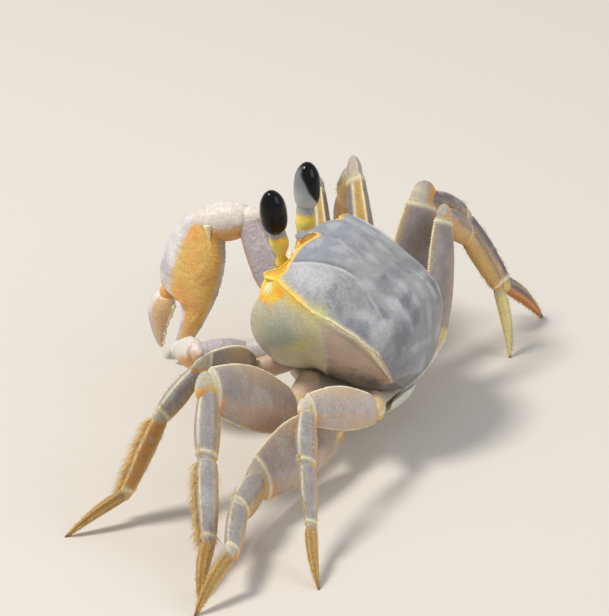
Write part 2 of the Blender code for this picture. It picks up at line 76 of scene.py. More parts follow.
# for each leg: where it leaves the shell, then the lengths and the depths of its parts
LEG_SIZES = {
    1: ((12.5, 6.0, -19.8), (8.0, 27.5, 13.6, 18.6, 16.5), (5.0, 11.0, 7.0, 5.6, 3.2)),
    2: ((13.5, -1.5, -20.0), (9.8, 32.3, 15.8, 19.5, 17.5), (6.2, 14.4, 8.0, 6.6, 3.8)),
    3: ((13.0, -8.6, -19.0), (9.6, 30.3, 14.0, 17.5, 16.5), (6.0, 14.4, 7.8, 6.2, 3.6)),
    4: ((11.0, -15.6, -14.8), (10.0, 26.6, 12.8, 14.5, 16.4), (4.8, 9.6, 6.6, 5.2, 3.2)),
}
FLATNESS = (0.92, 0.40, 0.62, 0.66, 0.72)            # thickness of each part as a share of its depth
# added to the length of the base, where a leg stands further out of the shell
EXTRA_REACH = {("right", 1): 2.6, ("right", 2): 2.3, ("right", 3): 2.1}
# how far each part is turned forwards, and how far all but the last are lifted, in degrees
LEG_POSES = {
    ("left", 1): ((50, -3, 24, 31, 39), (-8, 26, -35, -58)),
    ("left", 2): ((-8, 12, -24, -27, -20), (-12, 30, -41, -41)),
    ("left", 3): ((-22, 5, -10, -23, 10), (-18, 1, -1, -4)),
    ("left", 4): ((-31, 9, -26, -30, -33), (15, 22, -39, -40)),
    ("right", 1): ((30.6, 32, 40, 42, 44), (1.2, 43, -19, -64)),
    ("right", 2): ((15.8, 34, 40, 36, 67), (5.8, 53, -41, -51)),
    ("right", 3): ((5, 10, -19, -81, -22), (7.4, 52, -38, -58)),
    ("right", 4): ((-12, 19, -1, -67, -132), (29, 53, -42, -63)),
}

# ---- claws: joints from shoulder to wrist, then the fingertip, in the standing frame ----
CLAWS = {
    "right": {"joints": ((6.8, 16.4, 16.4), (9.5, 26.8, 19.3), (15.8, 38.9, 37.1), (13.6, 47.8, 36.0)),
              "tip": (10.5, 59.7, 2.6), "finger_side": (0.25, 1.0, 0.25), "depths": (6.0, 9.0, 9.5),
              "height": 16.0, "thickness": 8.4, "palm_share": 0.56},
    "left": {"joints": ((-10.6, 16.4, 20.2), (-12.5, 24.8, 19.5), (-18.5, 34.5, 20.0), (-14.0, 40.0, 17.5)),
             "tip": (8.5, 43.0, 2.6), "finger_side": (-0.1, 1.0, 0.2), "depths": (5.6, 7.2, 7.2),
             "height": 11.0, "thickness": 5.6, "palm_share": 0.54},
}

# ---- eyes ----
EYE_SPACING = 5.75
STALK_RADIUS = 1.75
STALK_LENGTH = 9.6
CORNEA_RADIUS = 3.1
CORNEA_LENGTH = 10.4
CORNEA_ASIDE = 0.8            # the cornea hangs over the outer side of its stalk
EYE_FOOT = (18.9, -4.3)
EYE_LEAN = 0.14
GAP = 0.3                     # clear width of the cut between two pieces


def srgb(red, green, blue):
    """A colour given as on a screen, 0 to 255, as linear light."""
    value = np.array((red, green, blue), float) / 255.0
    return np.where(value <= 0.04045, value / 12.92, ((value + 0.055) / 1.055) ** 2.4)


GREY_LILAC = srgb(154, 153, 153)
BLUE_GREY = srgb(145, 149, 157)
PALE_GREY = srgb(186, 187, 190)
WHITE_GREY = srgb(203, 202, 200)
DARK_GREY = srgb(112, 114, 124)
MARGIN_CREAM = srgb(240, 224, 150)
ORBIT_YELLOW = srgb(248, 206, 72)
ORBIT_ORANGE = srgb(247, 172, 62)
WALL_CREAM = srgb(212, 201, 170)
WALL_GREEN = srgb(165, 170, 152)
WALL_YELLOW = srgb(222, 208, 132)
WALL_ROSE = srgb(204, 182, 162)
# dark brown: painted shade under the margin, at the walls' foot and in the chest seams, and the darker
# lower walls
WALL_DARK_BROWN = srgb(134, 126, 116)
PATCH_GREEN = srgb(206, 204, 120)
DACTYL_TIP = srgb(120, 84, 44)
MERUS_BAND = srgb(196, 156, 66)
LEG_LILAC = srgb(158, 146, 143)
LEG_BLUE = srgb(156, 149, 146)
LEG_GREY = srgb(133, 123, 119)
LEG_ROSE = srgb(196, 170, 148)
LEG_OCHRE = srgb(206, 168, 108)
CRISP_CREAM = srgb(238, 226, 186)
JOINT_ORANGE = srgb(214, 146, 66)
JOINT_YELLOW = srgb(226, 196, 112)
SETA_GOLD = srgb(232, 190, 104)
DACTYL_BROWN = srgb(160, 122, 66)
CLAW_WHITE = srgb(222, 218, 214)
CLAW_TAN = srgb(222, 166, 92)
CLAW_GREY = srgb(172, 164, 172)
SOCKET_PALE = srgb(230, 230, 196)
STALK_YELLOW = srgb(232, 204, 70)
STALK_GREEN = srgb(206, 208, 132)
STALK_GREY = srgb(150, 154, 158)
STALK_PALE = srgb(202, 205, 202)
BELLY_WHITE = srgb(226, 222, 206)
CORNEA_BLACK = srgb(16, 15, 17)


# ---------------------------------------------------------------- small mathematics

def blend(low, high, share):
    """From low to high by a share."""
    return low + (high - low) * share


def mix(under, over, share):
    """Colour over colour, by a share per point."""
    return under + (over - under) * np.clip(share, 0.0, 1.0)[..., None]


def coats(colour, *layers):
    """A colour with others laid over it in turn, each (colour, share per point)."""
    for over, share in layers:
        colour = mix(colour, over, share)
    return colour


def bump(distance, width):
    """A smooth hill, 1 where the distance is 0."""
    return np.exp(-(distance / width) ** 2)


def ramp(value, low, high):
    """0 below low, 1 above high, smooth between."""
    share = np.clip((value - low) / (high - low), 0.0, 1.0)
    return share * share * (3.0 - 2.0 * share)


def unit(vector):
    vector = np.asarray(vector, float)
    return vector / np.linalg.norm(vector, axis=-1, keepdims=True)


def joined(*values):
    """Coordinates side by side, each a number or an array that is stretched to fit the others."""
    return np.stack(np.broadcast_arrays(*values), -1)


def circle(count):
    """Angles once round, without the last."""
    return np.linspace(0.0, TAU, count, endpoint=False)


def spaced(*runs):
    """Places that rise through runs of (start, end, count), each starting where the last one ends."""
    return np.concatenate([np.linspace(*run)[:-1] for run in runs[:-1]] + [np.linspace(*runs[-1])])


def squared(wave, power):
    """A sine or cosine with its round corners filled out, or drawn in for a power over 1."""
    return np.sign(wave) * np.abs(wave) ** power


def turn_x(angle):
    c, s = math.cos(angle), math.sin(angle)
    return np.array(((1, 0, 0), (0, c, -s), (0, s, c)))


def turn_y(angle):
    c, s = math.cos(angle), math.sin(angle)
    return np.array(((c, 0, s), (0, 1, 0), (-s, 0, c)))


BODY_TURN = turn_x(PITCH) @ turn_y(ROLL)


def stand(points):
    """Points in the body's axes, moved into the model's frame."""
    return np.asarray(points, float) @ BODY_TURN.T + BODY_AT


def noise(points, size, seed=0):
    """Smooth noise from -1 to 1, in blobs of about the given size."""
    place = np.asarray(points, float) / size
    cell = np.floor(place).astype(np.int64)
    part = place - cell
    part = part * part * (3.0 - 2.0 * part)
    total = np.zeros(place.shape[:-1])
    for corner in itertools.product((0, 1), repeat=3):
        lattice = cell + corner
        mixed = lattice[..., 0] * 73856093 ^ lattice[..., 1] * 19349663 ^ lattice[..., 2] * 83492791
        mixed = (mixed ^ (seed * 40503 + 977)) * 668265263
        mixed = ((mixed ^ (mixed >> 15)) * 374761393) & 0x7FFFFFFF
        weight = np.prod(np.where(np.array(corner) == 1, part, 1.0 - part), axis=-1)
        total += (mixed / 0x3FFFFFFF - 1.0) * weight
    return total


def swell(share, start, peak, end, where):
    """A width that rises smoothly from start to its peak and falls again to end."""
    rising = start + (peak - start) * np.sin(0.5 * math.pi * share / where)
    falling = end + (peak - end) * np.cos(0.5 * math.pi * (share - where) / (1.0 - where))
    return np.where(share < where, rising, falling)


def smooth_table(table, at):
    """Read a table of rows (place, value, ...) along smooth curves that never overshoot."""
    table = np.asarray(table, float)
    x = table[:, 0]
    columns = []
    for y in table[:, 1:].T:
        step = np.diff(x)
        slope = np.diff(y) / step
        same_way = slope[1:] * slope[:-1] > 0.0
        mean = 2.0 * slope[1:] * slope[:-1] / (slope[1:] + slope[:-1] + 1e-12)
        tangent = np.concatenate((slope[:1], np.where(same_way, mean, 0.0), slope[-1:]))
        i = np.clip(np.searchsorted(x, at) - 1, 0, len(x) - 2)
        t = np.clip((at - x[i]) / step[i], 0.0, 1.0)
        columns.append(y[i] * (1 + 2 * t) * (1 - t) ** 2 + y[i + 1] * t * t * (3 - 2 * t)
                       + step[i] * (tangent[i] * t * (1 - t) ** 2 - tangent[i + 1] * t * t * (1 - t)))
    return columns


# ---------------------------------------------------------------- meshes

def grid_normals(points):
    """Outward directions over a grid that is closed across its columns."""
    around = np.roll(points, -1, axis=1) - np.roll(points, 1, axis=1)
    along = np.gradient(points, axis=0)
    normal = np.cross(around, along)
    return normal / np.maximum(np.linalg.norm(normal, axis=-1, keepdims=True), 1e-9)


def raise_surface(points, height):
    """Push a closed grid outwards by a height per point, away from its rows' middles."""
    normal = grid_normals(points)
    outward = points - points.mean(axis=1, keepdims=True)
    sign = np.sign((normal * outward).sum() + 1e-12)
    return points + sign * normal * height[..., None]


def sweep(centres, way, reach, other_way, other_reach):
    """A grid of rings round a line of centres, which reach out along two directions."""
    return centres[:, None] + way * reach[..., None] + other_way * other_reach[..., None]


def grid_faces(rows, columns, first=0):
    """Faces of a grid that closes across its columns, with both ends closed by fans."""
    i, j = np.meshgrid(np.arange(rows - 1), np.arange(columns), indexing="ij")
    k = (j + 1) % columns
    quads = np.stack((i * columns + j, i * columns + k, (i + 1) * columns + k, (i + 1) * columns + j), -1)
    quads = quads.reshape(-1, 4) + first
    low, high = first + rows * columns, first + rows * columns + 1
    ring = np.arange(columns)
    after = (ring + 1) % columns
    last = (rows - 1) * columns + first
    fans = [(low, first + b, first + a) for a, b in zip(ring, after)]
    fans += [(high, last + a, last + b) for a, b in zip(ring, after)]
    return quads, fans


def make_object(name, points, faces, colours, grains, material):
    """A mesh object with a colour and a grain on each of its points, given in mm."""
    mesh = bpy.data.meshes.new(name)
    mesh.from_pydata((np.asarray(points) * MM).tolist(), [], faces)
    paint = mesh.color_attributes.new("paint", "FLOAT_COLOR", "POINT")
    paint.data.foreach_set("color", np.c_[colours, np.ones(len(colours))].astype(np.float32).ravel())
    grain = mesh.attributes.new("grain", "FLOAT", "POINT")
    grain.data.foreach_set("value", np.asarray(grains, np.float32))
    mesh.shade_smooth()
    mesh.materials.append(material)
    piece = bpy.data.objects.new(name, mesh)
    bpy.context.scene.collection.objects.link(piece)
    return piece


def grids_piece(name, grids, material, replaced=()):
    """One piece from several closed grids, each (points, colours, grain)."""
    points, colours, grains, faces = [], [], [], []
    first = 0
    for place, colour, grain in grids:
        rows, columns = place.shape[:2]
        colour = np.broadcast_to(colour, place.shape)
        grain = np.broadcast_to(grain, place.shape[:2])
        points += [place.reshape(-1, 3), place[0].mean(axis=0)[None], place[-1].mean(axis=0)[None]]
        colours += [colour.reshape(-1, 3), colour[0].mean(axis=0)[None], colour[-1].mean(axis=0)[None]]
        grains += [grain.reshape(-1), grain[0].mean()[None], grain[-1].mean()[None]]
        volume = np.einsum("ijk,ijk->", grid_normals(place), place - place.mean(axis=1, keepdims=True))
        quads, fans = grid_faces(rows, columns, first)
        made = quads.tolist() + fans
        faces += made if volume > 0.0 else [face[::-1] for face in made]
        first += rows * columns + 2
    piece = make_object(name, np.concatenate(points), faces, np.concatenate(colours),
                        np.concatenate(grains), material)
    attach(piece, "root")
    if replaced:
        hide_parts(*replaced)
    return piece


def skin(node, points, colours, grain, material):
    """The fine surface that stands for the solid of that name."""
    grids_piece(f"{node}_skin", [(points, colours, grain)], material, [node])


def beads(name, centres, radii, colours, material, sides=7, bands=5):
    """Many small round grains as one piece."""
    radii = np.broadcast_to(radii, len(centres))
    colours = np.broadcast_to(colours, (len(centres), 3))
    polar = (math.pi * (np.arange(bands) + 0.6) / (bands + 0.2))[:, None]
    turn = circle(sides)
    ball = joined(np.sin(polar) * np.cos(turn), np.sin(polar) * np.sin(turn), np.cos(polar))
    grids = [(centre + radius * ball, colour, 0.2)
             for centre, radius, colour in zip(centres, radii, colours)]
    return grids_piece(name, grids, material)


BRISTLE_HEIGHTS = np.array((-0.06, 0.34, 0.70))     # its three rings, as shares of its length
BRISTLE_GIRTHS = np.array((0.055, 0.0451, 0.0264))
BRISTLE_POINTS = 10           # three points on each ring, and the tip
BRISTLE_PATCH = 0.0028        # width of a bristle's patch on the OFBake map
FLOOR_CLEARANCE = 0.02


def bristles(name, roots, ways, lengths, droops, places, tones):
    """Setae: thin tapered spikes, each with its own small patch on the OFBake map."""
    ways = unit(ways)
    count = len(roots)
    aside = unit(np.cross(ways, (0.31, 0.52, 0.79)))
    over = np.cross(ways, aside)
    spine = (roots[:, None] + ways[:, None] * (lengths[:, None] * BRISTLE_HEIGHTS)[..., None]
             + droops[:, None] * (lengths[:, None] * BRISTLE_HEIGHTS ** 2)[..., None])
    turn = circle(3)[None, :, None]
    ring = aside[:, None] * np.cos(turn) + over[:, None] * np.sin(turn)
    rings = spine[:, :, None] + ring[:, None] * BRISTLE_GIRTHS[None, :, None, None]
    tips = roots + (ways + droops) * lengths[:, None]
    points = np.concatenate((rings.reshape(count, BRISTLE_POINTS - 1, 3), tips[:, None]), axis=1)
    points = points.reshape(-1, 3)
    points[:, 2] = np.maximum(points[:, 2], FLOOR_CLEARANCE)
    pattern = [(2, 1, 0)]
    for low, (a, b) in itertools.product((0, 3), ((0, 1), (1, 2), (2, 0))):
        pattern.append((low + a, low + b, low + 3 + b, low + 3 + a))
    pattern += [(6, 7, 9), (7, 8, 9), (8, 6, 9)]
    faces = [tuple(BRISTLE_POINTS * n + v for v in face) for n in range(count) for face in pattern]
    tones = np.repeat(tones, BRISTLE_POINTS, axis=0)
    piece = make_object(name, points, faces, tones, np.zeros(len(points)), SETA)

    turn = circle(BRISTLE_POINTS)
    spots = places[:, None] + 0.5 * BRISTLE_PATCH * joined(np.cos(turn), np.sin(turn))
    corners = np.zeros(len(piece.data.loops), np.int32)
    piece.data.loops.foreach_get("vertex_index", corners)
    layer = piece.data.uv_layers.new(name="OFBake")
    layer.data.foreach_set("uv", spots.reshape(-1, 2)[corners].astype(np.float32).ravel())
    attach(piece, "root")


# ---------------------------------------------------------------- materials

SPECKLE_SIZE = 0.5
CLOUD_SIZE = 3.2


def shell_material(name, roughness, speckle=0.16, granule_size=0.45, relief=0.10, scatter=0.10):
    """Painted horny shell: fine speckle in the colour, granules as bump, and a soft waxy gloss."""
    made = bpy.data.materials.new(name)
    made.use_nodes = True
    tree = made.node_tree

    def plug(socket, value):
        """Give a socket a plain value, or link it to the output of another node."""
        if isinstance(value, bpy.types.NodeSocket):
            tree.links.new(value, socket)
        else:
            socket.default_value = value

    def node(kind, **inputs):
        new = tree.nodes.new(kind)
        for key, value in inputs.items():
            plug(new.inputs[key.replace("_", " ")], value)
        return new.outputs

    def calculate(operation, *values):
        new = tree.nodes.new("ShaderNodeMath")
        new.operation = operation
        for socket, value in zip(new.inputs, values):
            plug(socket, value)
        return new.outputs[0]

    def attribute(key):
        new = tree.nodes.new("ShaderNodeAttribute")
        new.attribute_name = key
        return new.outputs

    def stretch(source, low, high):
        return node("ShaderNodeMapRange", Value=source, From_Min=0.3, From_Max=0.7, To_Min=low,
                    To_Max=high)["Result"]

    place = node("ShaderNodeTexCoord")["Object"]
    fine = node("ShaderNodeTexNoise", Vector=place, Scale=1.0 / (SPECKLE_SIZE * MM), Detail=3.0,
                Roughness=0.6)["Fac"]
    broad = node("ShaderNodeTexNoise", Vector=place, Scale=1.0 / (CLOUD_SIZE * MM), Detail=4.0,
                 Roughness=0.55)["Fac"]
    cells = node("ShaderNodeTexVoronoi", Vector=place, Scale=1.0 / (granule_size * MM))["Distance"]
    shade = calculate("MULTIPLY", stretch(fine, 1.0 - speckle, 1.0 + speckle), stretch(broad, 0.93, 1.07))
    tint = tree.nodes.new("ShaderNodeVectorMath")
    tint.operation = "SCALE"
    plug(tint.inputs["Vector"], attribute("paint")["Color"])
    plug(tint.inputs["Scale"], shade)
    dome = node("ShaderNodeMapRange", Value=cells, From_Min=0.0, From_Max=0.6, To_Min=1.0, To_Max=0.0)
    granules = calculate("MULTIPLY", dome["Result"], attribute("grain")["Fac"])
    height = calculate("MULTIPLY_ADD", fine, 0.35, granules)
    bumps = node("ShaderNodeBump", Strength=0.55, Distance=relief * MM, Height=height)
    for key, value in (("Base Color", tint.outputs["Vector"]), ("Normal", bumps["Normal"]),
                       ("Roughness", stretch(fine, roughness - 0.08, roughness + 0.10)),
                       ("Metallic", 0.0), ("Specular IOR Level", 0.42), ("Subsurface Weight", scatter),
                       ("Subsurface Radius", (1.2 * MM, 0.9 * MM, 0.6 * MM)), ("Subsurface Scale", 1.0)):
        plug(tree.nodes["Principled BSDF"].inputs[key], value)
    return made


def cornea_material():
    """Smooth black with a thin gloss."""
    made = shell_material("cornea", 0.10, speckle=0.05, granule_size=0.12, relief=0.004, scatter=0.0)
    for key, value in (("Specular IOR Level", 0.14), ("Coat Weight", 0.14), ("Coat Roughness", 0.05)):
        made.node_tree.nodes["Principled BSDF"].inputs[key].default_value = value
    return made


SHELL = shell_material("shell skin", 0.44, speckle=0.13, granule_size=0.50)
LEG = shell_material("leg skin", 0.46, speckle=0.16, granule_size=0.42)
CLAW = shell_material("claw skin", 0.42, speckle=0.12, granule_size=0.62, relief=0.16)
PALE = shell_material("belly skin", 0.46, speckle=0.08, granule_size=0.60)
STALK = shell_material("stalk skin", 0.30, speckle=0.08, granule_size=0.30, relief=0.03, scatter=0.25)
SETA = shell_material("setae", 0.50, speckle=0.10, relief=0.01, scatter=0.0)
CORNEA = cornea_material()


# ---------------------------------------------------------------- shell of the body

def shell_half_width(share):
    """Half the width of the back, from the rear at 0 to the front at 1."""
    rear = 1.0 - 0.5 * (1.0 - np.minimum(share / 0.7, 1.0)) ** 2.6
    front = 1.0 - 0.05 * np.maximum(0.0, (share - 0.72) / 0.28) ** 2
    return 0.5 * SHELL_WIDTH * rear * front


def front_edge(across):
    """Y of the front edge: the tooth between the eyes, an arched brow each side, the outer corners."""
    a = np.abs(across)
    tooth = (FRONT_TOOTH_Y - 15.8) * np.exp(-((a / 0.20) ** 4))
    brow = 1.9 * np.sin(math.pi * np.clip((a - 0.18) / 0.72, 0.0, 1.0))
    corner = (ORBIT_CORNER_Y - 14.6) * a ** 6
    return 14.9 + tooth + corner + brow


def edge_height(y):
    """Z of the edge between the back and the side walls."""
    return EDGE_SLOPE * y - REAR_DROP * (np.maximum(0.0, -y / 18.0 - 0.5) / 0.5) ** 2


def back_height(across, y):
    """Z of the domed back, which bends down at the front."""
    lengthwise = np.sqrt(np.maximum(0.0, 1.0 - np.abs((y + 0.8) / 19.8) ** 3.0))
    dome = DOME_HEIGHT * (0.35 + 0.65 * lengthwise) * (1.0 - np.abs(across) ** 2.4)
    bend = 2.6 * np.maximum(0.0, (y - 13.5) / 7.0) ** 2 * (1.0 - np.minimum(np.abs(across), 1.0) ** 2)
    return edge_height(y) + dome - bend


def fullness(share):
    """How steep the side walls stand: 0 at the rear, where they turn under, 1 in front."""
    return ramp(share, 0.50, 0.86)


def wall_point(share, down, outward):
    """Points of a side wall: from its upper edge at 0 down to the floor at 1."""
    full = fullness(share)
    rear_y = REAR_EDGE_Y + REAR_CURVE * (1.0 + down)
    front_y = ORBIT_CORNER_Y + 1.6 * np.sin(math.pi * down) - 5.4 * down ** 3
    y = blend(rear_y, front_y, share)
    floor = SHELL_FLOOR_Z + 3.4 * (1.0 - share) ** 3 + 1.0 * full
    bulge = 0.06 * np.sin(math.pi * down) * share
    tuck = blend(0.60, 0.16, full) * down ** (blend(1.6, 3.4, share) + 2.6 * full)
    x = outward * shell_half_width(share) * (1.0 + bulge - tuck)
    return joined(x, y, blend(edge_height(y), floor, down))


BACK = 201        # points across the back
WALL = 44         # points down each side wall
FLOOR = 12        # points across the floor


def shell_sections(share):
    """Sections of the shell for a column of shares, with where each point lies on it."""
    share = share[:, None]
    across = np.linspace(-1.0, 1.0, BACK)[None]
    y = blend(REAR_EDGE_Y + REAR_CURVE * across ** 2, front_edge(across), share)
    back = joined(across * shell_half_width(share), y, back_height(across, y))
    down = (np.arange(1, WALL + 1) / WALL)[None]
    right = wall_point(share, down, 1.0)
    left = wall_point(share, down[:, ::-1], -1.0)
    corner = right[:, -1:]
    floor = joined(corner[..., 0] * np.linspace(0.86, -0.86, FLOOR), corner[..., 1],
                   corner[..., 2] + FLOOR_HOLLOW * fullness(share))
    return np.concatenate((back, right, floor, left), axis=1)


def column_places():
    """For each point of a section: its place across the back, and down a side wall."""
    down = np.arange(1, WALL + 1) / WALL
    across = np.concatenate((np.linspace(-1.0, 1.0, BACK), np.ones(WALL), np.zeros(FLOOR), -np.ones(WALL)))
    depth = np.concatenate((np.zeros(BACK), down, np.ones(FLOOR), down[::-1]))
    return across, depth


def socket_depth(across):
    """How much a place across the front belongs to an eye socket, from 0 to 1."""
    a = np.minimum(np.abs(across), 1.0)
    return np.sin(math.pi * np.clip((a - 0.08) / 0.88, 0.0, 1.0)) ** 0.6


# how the front section is carried inwards: step, inset, back, drop, recede, outer lobe, scale, sink, muzzle
FACE_STEPS = (
    (0.0, 0.00, 0.0, 0.0, 0.0, 0.0, 1.00, 0.0, 0.0),
    (1.0, 0.02, 0.2, 0.7, 0.0, 0.0, 1.00, 0.0, 0.0),
    (2.0, 0.06, 3.6, 1.3, 0.2, 0.4, 1.00, 0.0, 0.0),
    (3.0, 0.10, 3.6, 4.6, 0.6, 2.0, 1.00, 0.0, 0.0),
    (4.0, 0.14, -1.4, 6.0, 0.8, 3.0, 1.00, 0.0, 0.6),
    (5.0, 0.20, -1.2, 6.0, 0.8, 1.2, 0.68, 0.2, 2.0),
    (6.0, 0.20, -1.2, 6.0, 0.8, 0.4, 0.50, 0.3, 1.2),
    (7.0, 0.20, -1.2, 6.0, 0.8, 0.0, 0.46, 3.8, 0.0),
)


def face_sections(front, across, depth):
    """The front section carried inwards, round the eye sockets and down to the mouth."""
    steps = np.linspace(0.0, 7.0, 74)
    inset, back, drop, recede, lobe, scale, sink, muzzle = smooth_table(FACE_STEPS, steps)
    hollow = socket_depth(across)
    narrow = np.exp(-(across / 0.45) ** 4)
    on_back = np.arange(len(across)) < BACK
    corner = np.where(on_back, bump(np.abs(across) - 0.96, 0.20), bump(depth, 0.36))
    rows = []
    for k in range(1, len(steps)):
        inner = FACE_MIDDLE + (front - FACE_MIDDLE) * (1.0 - inset[k])
        under = joined(front[:, 0] * (1.0 - 0.5 * inset[k]),
                       blend(front[:, 1], 15.9, recede[k]) - 0.4 * min(1.0, steps[k]) - back[k] * hollow,
                       front[:, 2] - drop[k] * (0.35 + 0.65 * hollow) - 2.0 * inset[k])
        ring = FACE_MIDDLE + (np.where(on_back[:, None], under, inner) - FACE_MIDDLE) * scale[k]
        ring[:, 1] += np.where(on_back, muzzle[k] * narrow, 0.0) - sink[k] + lobe[k] * corner
        rows.append(ring)
    return np.array(rows), steps[1:]


# the groove beside the stomach: y, then distance from the middle
CREASE = ((-16.0, 14.0), (-8.5, 13.7), (-3.7, 12.6), (0.5, 11.0), (2.6, 11.1), (5.3, 11.4), (8.6, 12.6),
          (11.9, 14.1), (14.7, 15.8), (17.0, 17.0))

# blotches of the back, alike on both sides: distance from the middle, y, size along x and y, tone
BLOTCHES = (
    (14.9, -9.9, 2.4, 1.9, 0.95), (9.2, -11.3, 1.0, 1.9, 0.9), (9.4, -7.6, 1.4, 1.9, 0.8),
    (5.1, -6.6, 1.9, 1.1, 0.8), (4.2, -10.4, 1.1, 1.6, 0.8), (11.1, -0.3, 1.5, 2.2, 0.6),
    (3.1, 3.8, 1.2, 2.6, 0.6), (7.1, 9.1, 2.0, 1.6, 0.6), (5.3, 9.8, 0.8, 3.6, 0.5),
    (16.7, 9.6, 3.4, 5.0, 0.9), (0.0, 9.0, 1.4, 3.4, 0.3), (0.0, -13.8, 1.6, 1.8, 0.4),
    (7.2, -9.2, 1.3, 1.5, -0.9), (6.6, -12.8, 1.9, 1.3, -0.8), (10.8, -13.5, 2.2, 1.7, -0.7),
    (17.6, -6.4, 1.7, 1.8, -0.7), (1.6, -3.0, 2.0, 2.0, -0.7), (7.4, -3.2, 2.4, 2.2, -0.6),
    (18.6, 0.2, 1.1, 1.1, -0.7), (19.2, -3.4, 0.9, 1.6, -0.6), (11.9, -15.6, 1.6, 1.2, -0.5),
    (13.3, -5.8, 0.8, 3.0, -0.8), (15.2, -1.2, 1.2, 2.2, -0.35), (1.2, 0.8, 1.4, 1.4, -0.3),
)


FAR = 99.0        # distance given to points that a line doesn't reach


def margin_line(share):
    """How far out the side margin runs: 1 is the edge of the back, beyond 1 it is on the side wall."""
    (place,) = smooth_table(((0.0, 1.12), (0.085, 1.09), (0.153, 1.05), (0.237, 1.01), (0.39, 0.97),
                             (0.51, 0.97), (0.64, 0.995), (0.80, 1.0), (1.0, 1.0)), share)
    return place


def shell_grid():
    """The whole shell as one grid, with where each point lies."""
    across, depth = column_places()
    shares = spaced((0.0, 0.12, 22), (0.12, 0.88, 92), (0.88, 1.0, 30))
    body = shell_sections(shares)
    rear_middle = np.array((0.0, REAR_EDGE_Y + 1.2, -13.8))
    closing = np.linspace(0.15, 0.97, 14)
    tail = rear_middle + (body[0] - rear_middle) * closing[:, None, None]
    face, face_steps = face_sections(body[-1], across, depth)
    points = np.concatenate((tail, body, face))
    share = np.concatenate((np.zeros(len(tail)), shares, np.ones(len(face))))[:, None]
    step = np.concatenate((np.zeros(len(tail) + len(body)), face_steps))[:, None]
    behind = np.concatenate((1.0 - closing, np.zeros(len(body) + len(face))))[:, None]
    return points, across[None], depth[None], share, step, behind


class ShellSurface:
    """The shell's grid of points, and where its fields and lines lie on it."""

    def __init__(self):
        self.points, self.across, self.depth, self.share, self.step, self.behind = shell_grid()
        self.x, self.y, self.z = np.moveaxis(self.points, -1, 0)
        self.aside = np.abs(self.x)
        self.mirrored = joined(self.aside, self.y, self.z)
        self.upper = np.arange(self.across.shape[1])[None] < BACK
        self.on_back = self.upper & (self.step == 0.0)
        self.on_wall = ~self.upper & (self.step < 3.5)
        self.in_front = self.behind == 0.0

        # distances in mm: outwards from the groove, inwards from the margin, forwards from the wall's ridge
        crease_y, crease_x = zip(*CREASE)
        self.crease_gap = self.aside - np.interp(self.y, crease_y, crease_x)
        line, half = margin_line(self.share), shell_half_width(self.share)
        on_top = np.where(self.on_back, (line - np.abs(self.across)) * half, -FAR)
        self.margin_gap = np.where(self.on_wall, (line - 1.0) * half - 9.0 * self.depth, on_top)
        on_side = np.where(self.on_wall, self.y + 3.3 - 7.6 * (1.0 - self.depth) ** 4, FAR)
        self.ridge_gap = np.where(self.on_back, np.where(self.margin_gap < 0.0, self.y - 4.4, FAR), on_side)

        # strengths from 0 to 1
        self.crease_run = (ramp(self.y, 0.5, 5.0) + 0.6 * bump(self.y + 5.4, 3.0)) * self.on_back
        self.outer_field = self.on_back * ramp(self.crease_gap, 0.0, 2.0) * ramp(self.margin_gap, 0.0, 0.4)
        self.pits = (bump(np.hypot(self.aside - 4.6, self.y + 2.6), 1.3)
                     + bump(np.hypot(self.aside - 2.6, self.y - 5.5), 1.2))
        self.gut_line = (bump(self.aside - 5.4 - 0.03 * (self.y + 6.0) ** 2, 1.0)
                         * ramp(-self.y, 0.5, 3.5) * ramp(self.y, -14.0, -10.0))


def shell_relief(at):
    """How far the surface stands over the plain shell, in mm."""
    heart = bump(np.hypot(at.x / 1.25, at.y + 6.2), 4.4)
    broad = 0.6 * noise(at.mirrored, 6.5, 3) + 0.4 * noise(at.points, 3.4, 5)
    pebbles = noise(at.points, 0.55, 8) * 0.6 + noise(at.points, 0.95, 9) * 0.4
    groove = bump(at.crease_gap - 0.6, 0.8) - 2.2 * bump(at.crease_gap + 0.25, 0.5)
    height = at.on_back * (0.30 * broad + 0.36 * heart - 0.30 * at.pits - 0.24 * at.gut_line)
    height += 0.16 * groove * at.crease_run
    height += (0.38 * bump(at.margin_gap, 0.36) * at.in_front
               + 0.24 * bump(at.ridge_gap, 0.34) * ramp(at.depth, 0.0, 0.06))
    height += pebbles * (0.020 + 0.045 * at.outer_field) * ((at.step < 1.0) | (at.step > 3.4))
    height += 0.35 * bump(at.step - 4.0, 0.20) * at.upper
    return height


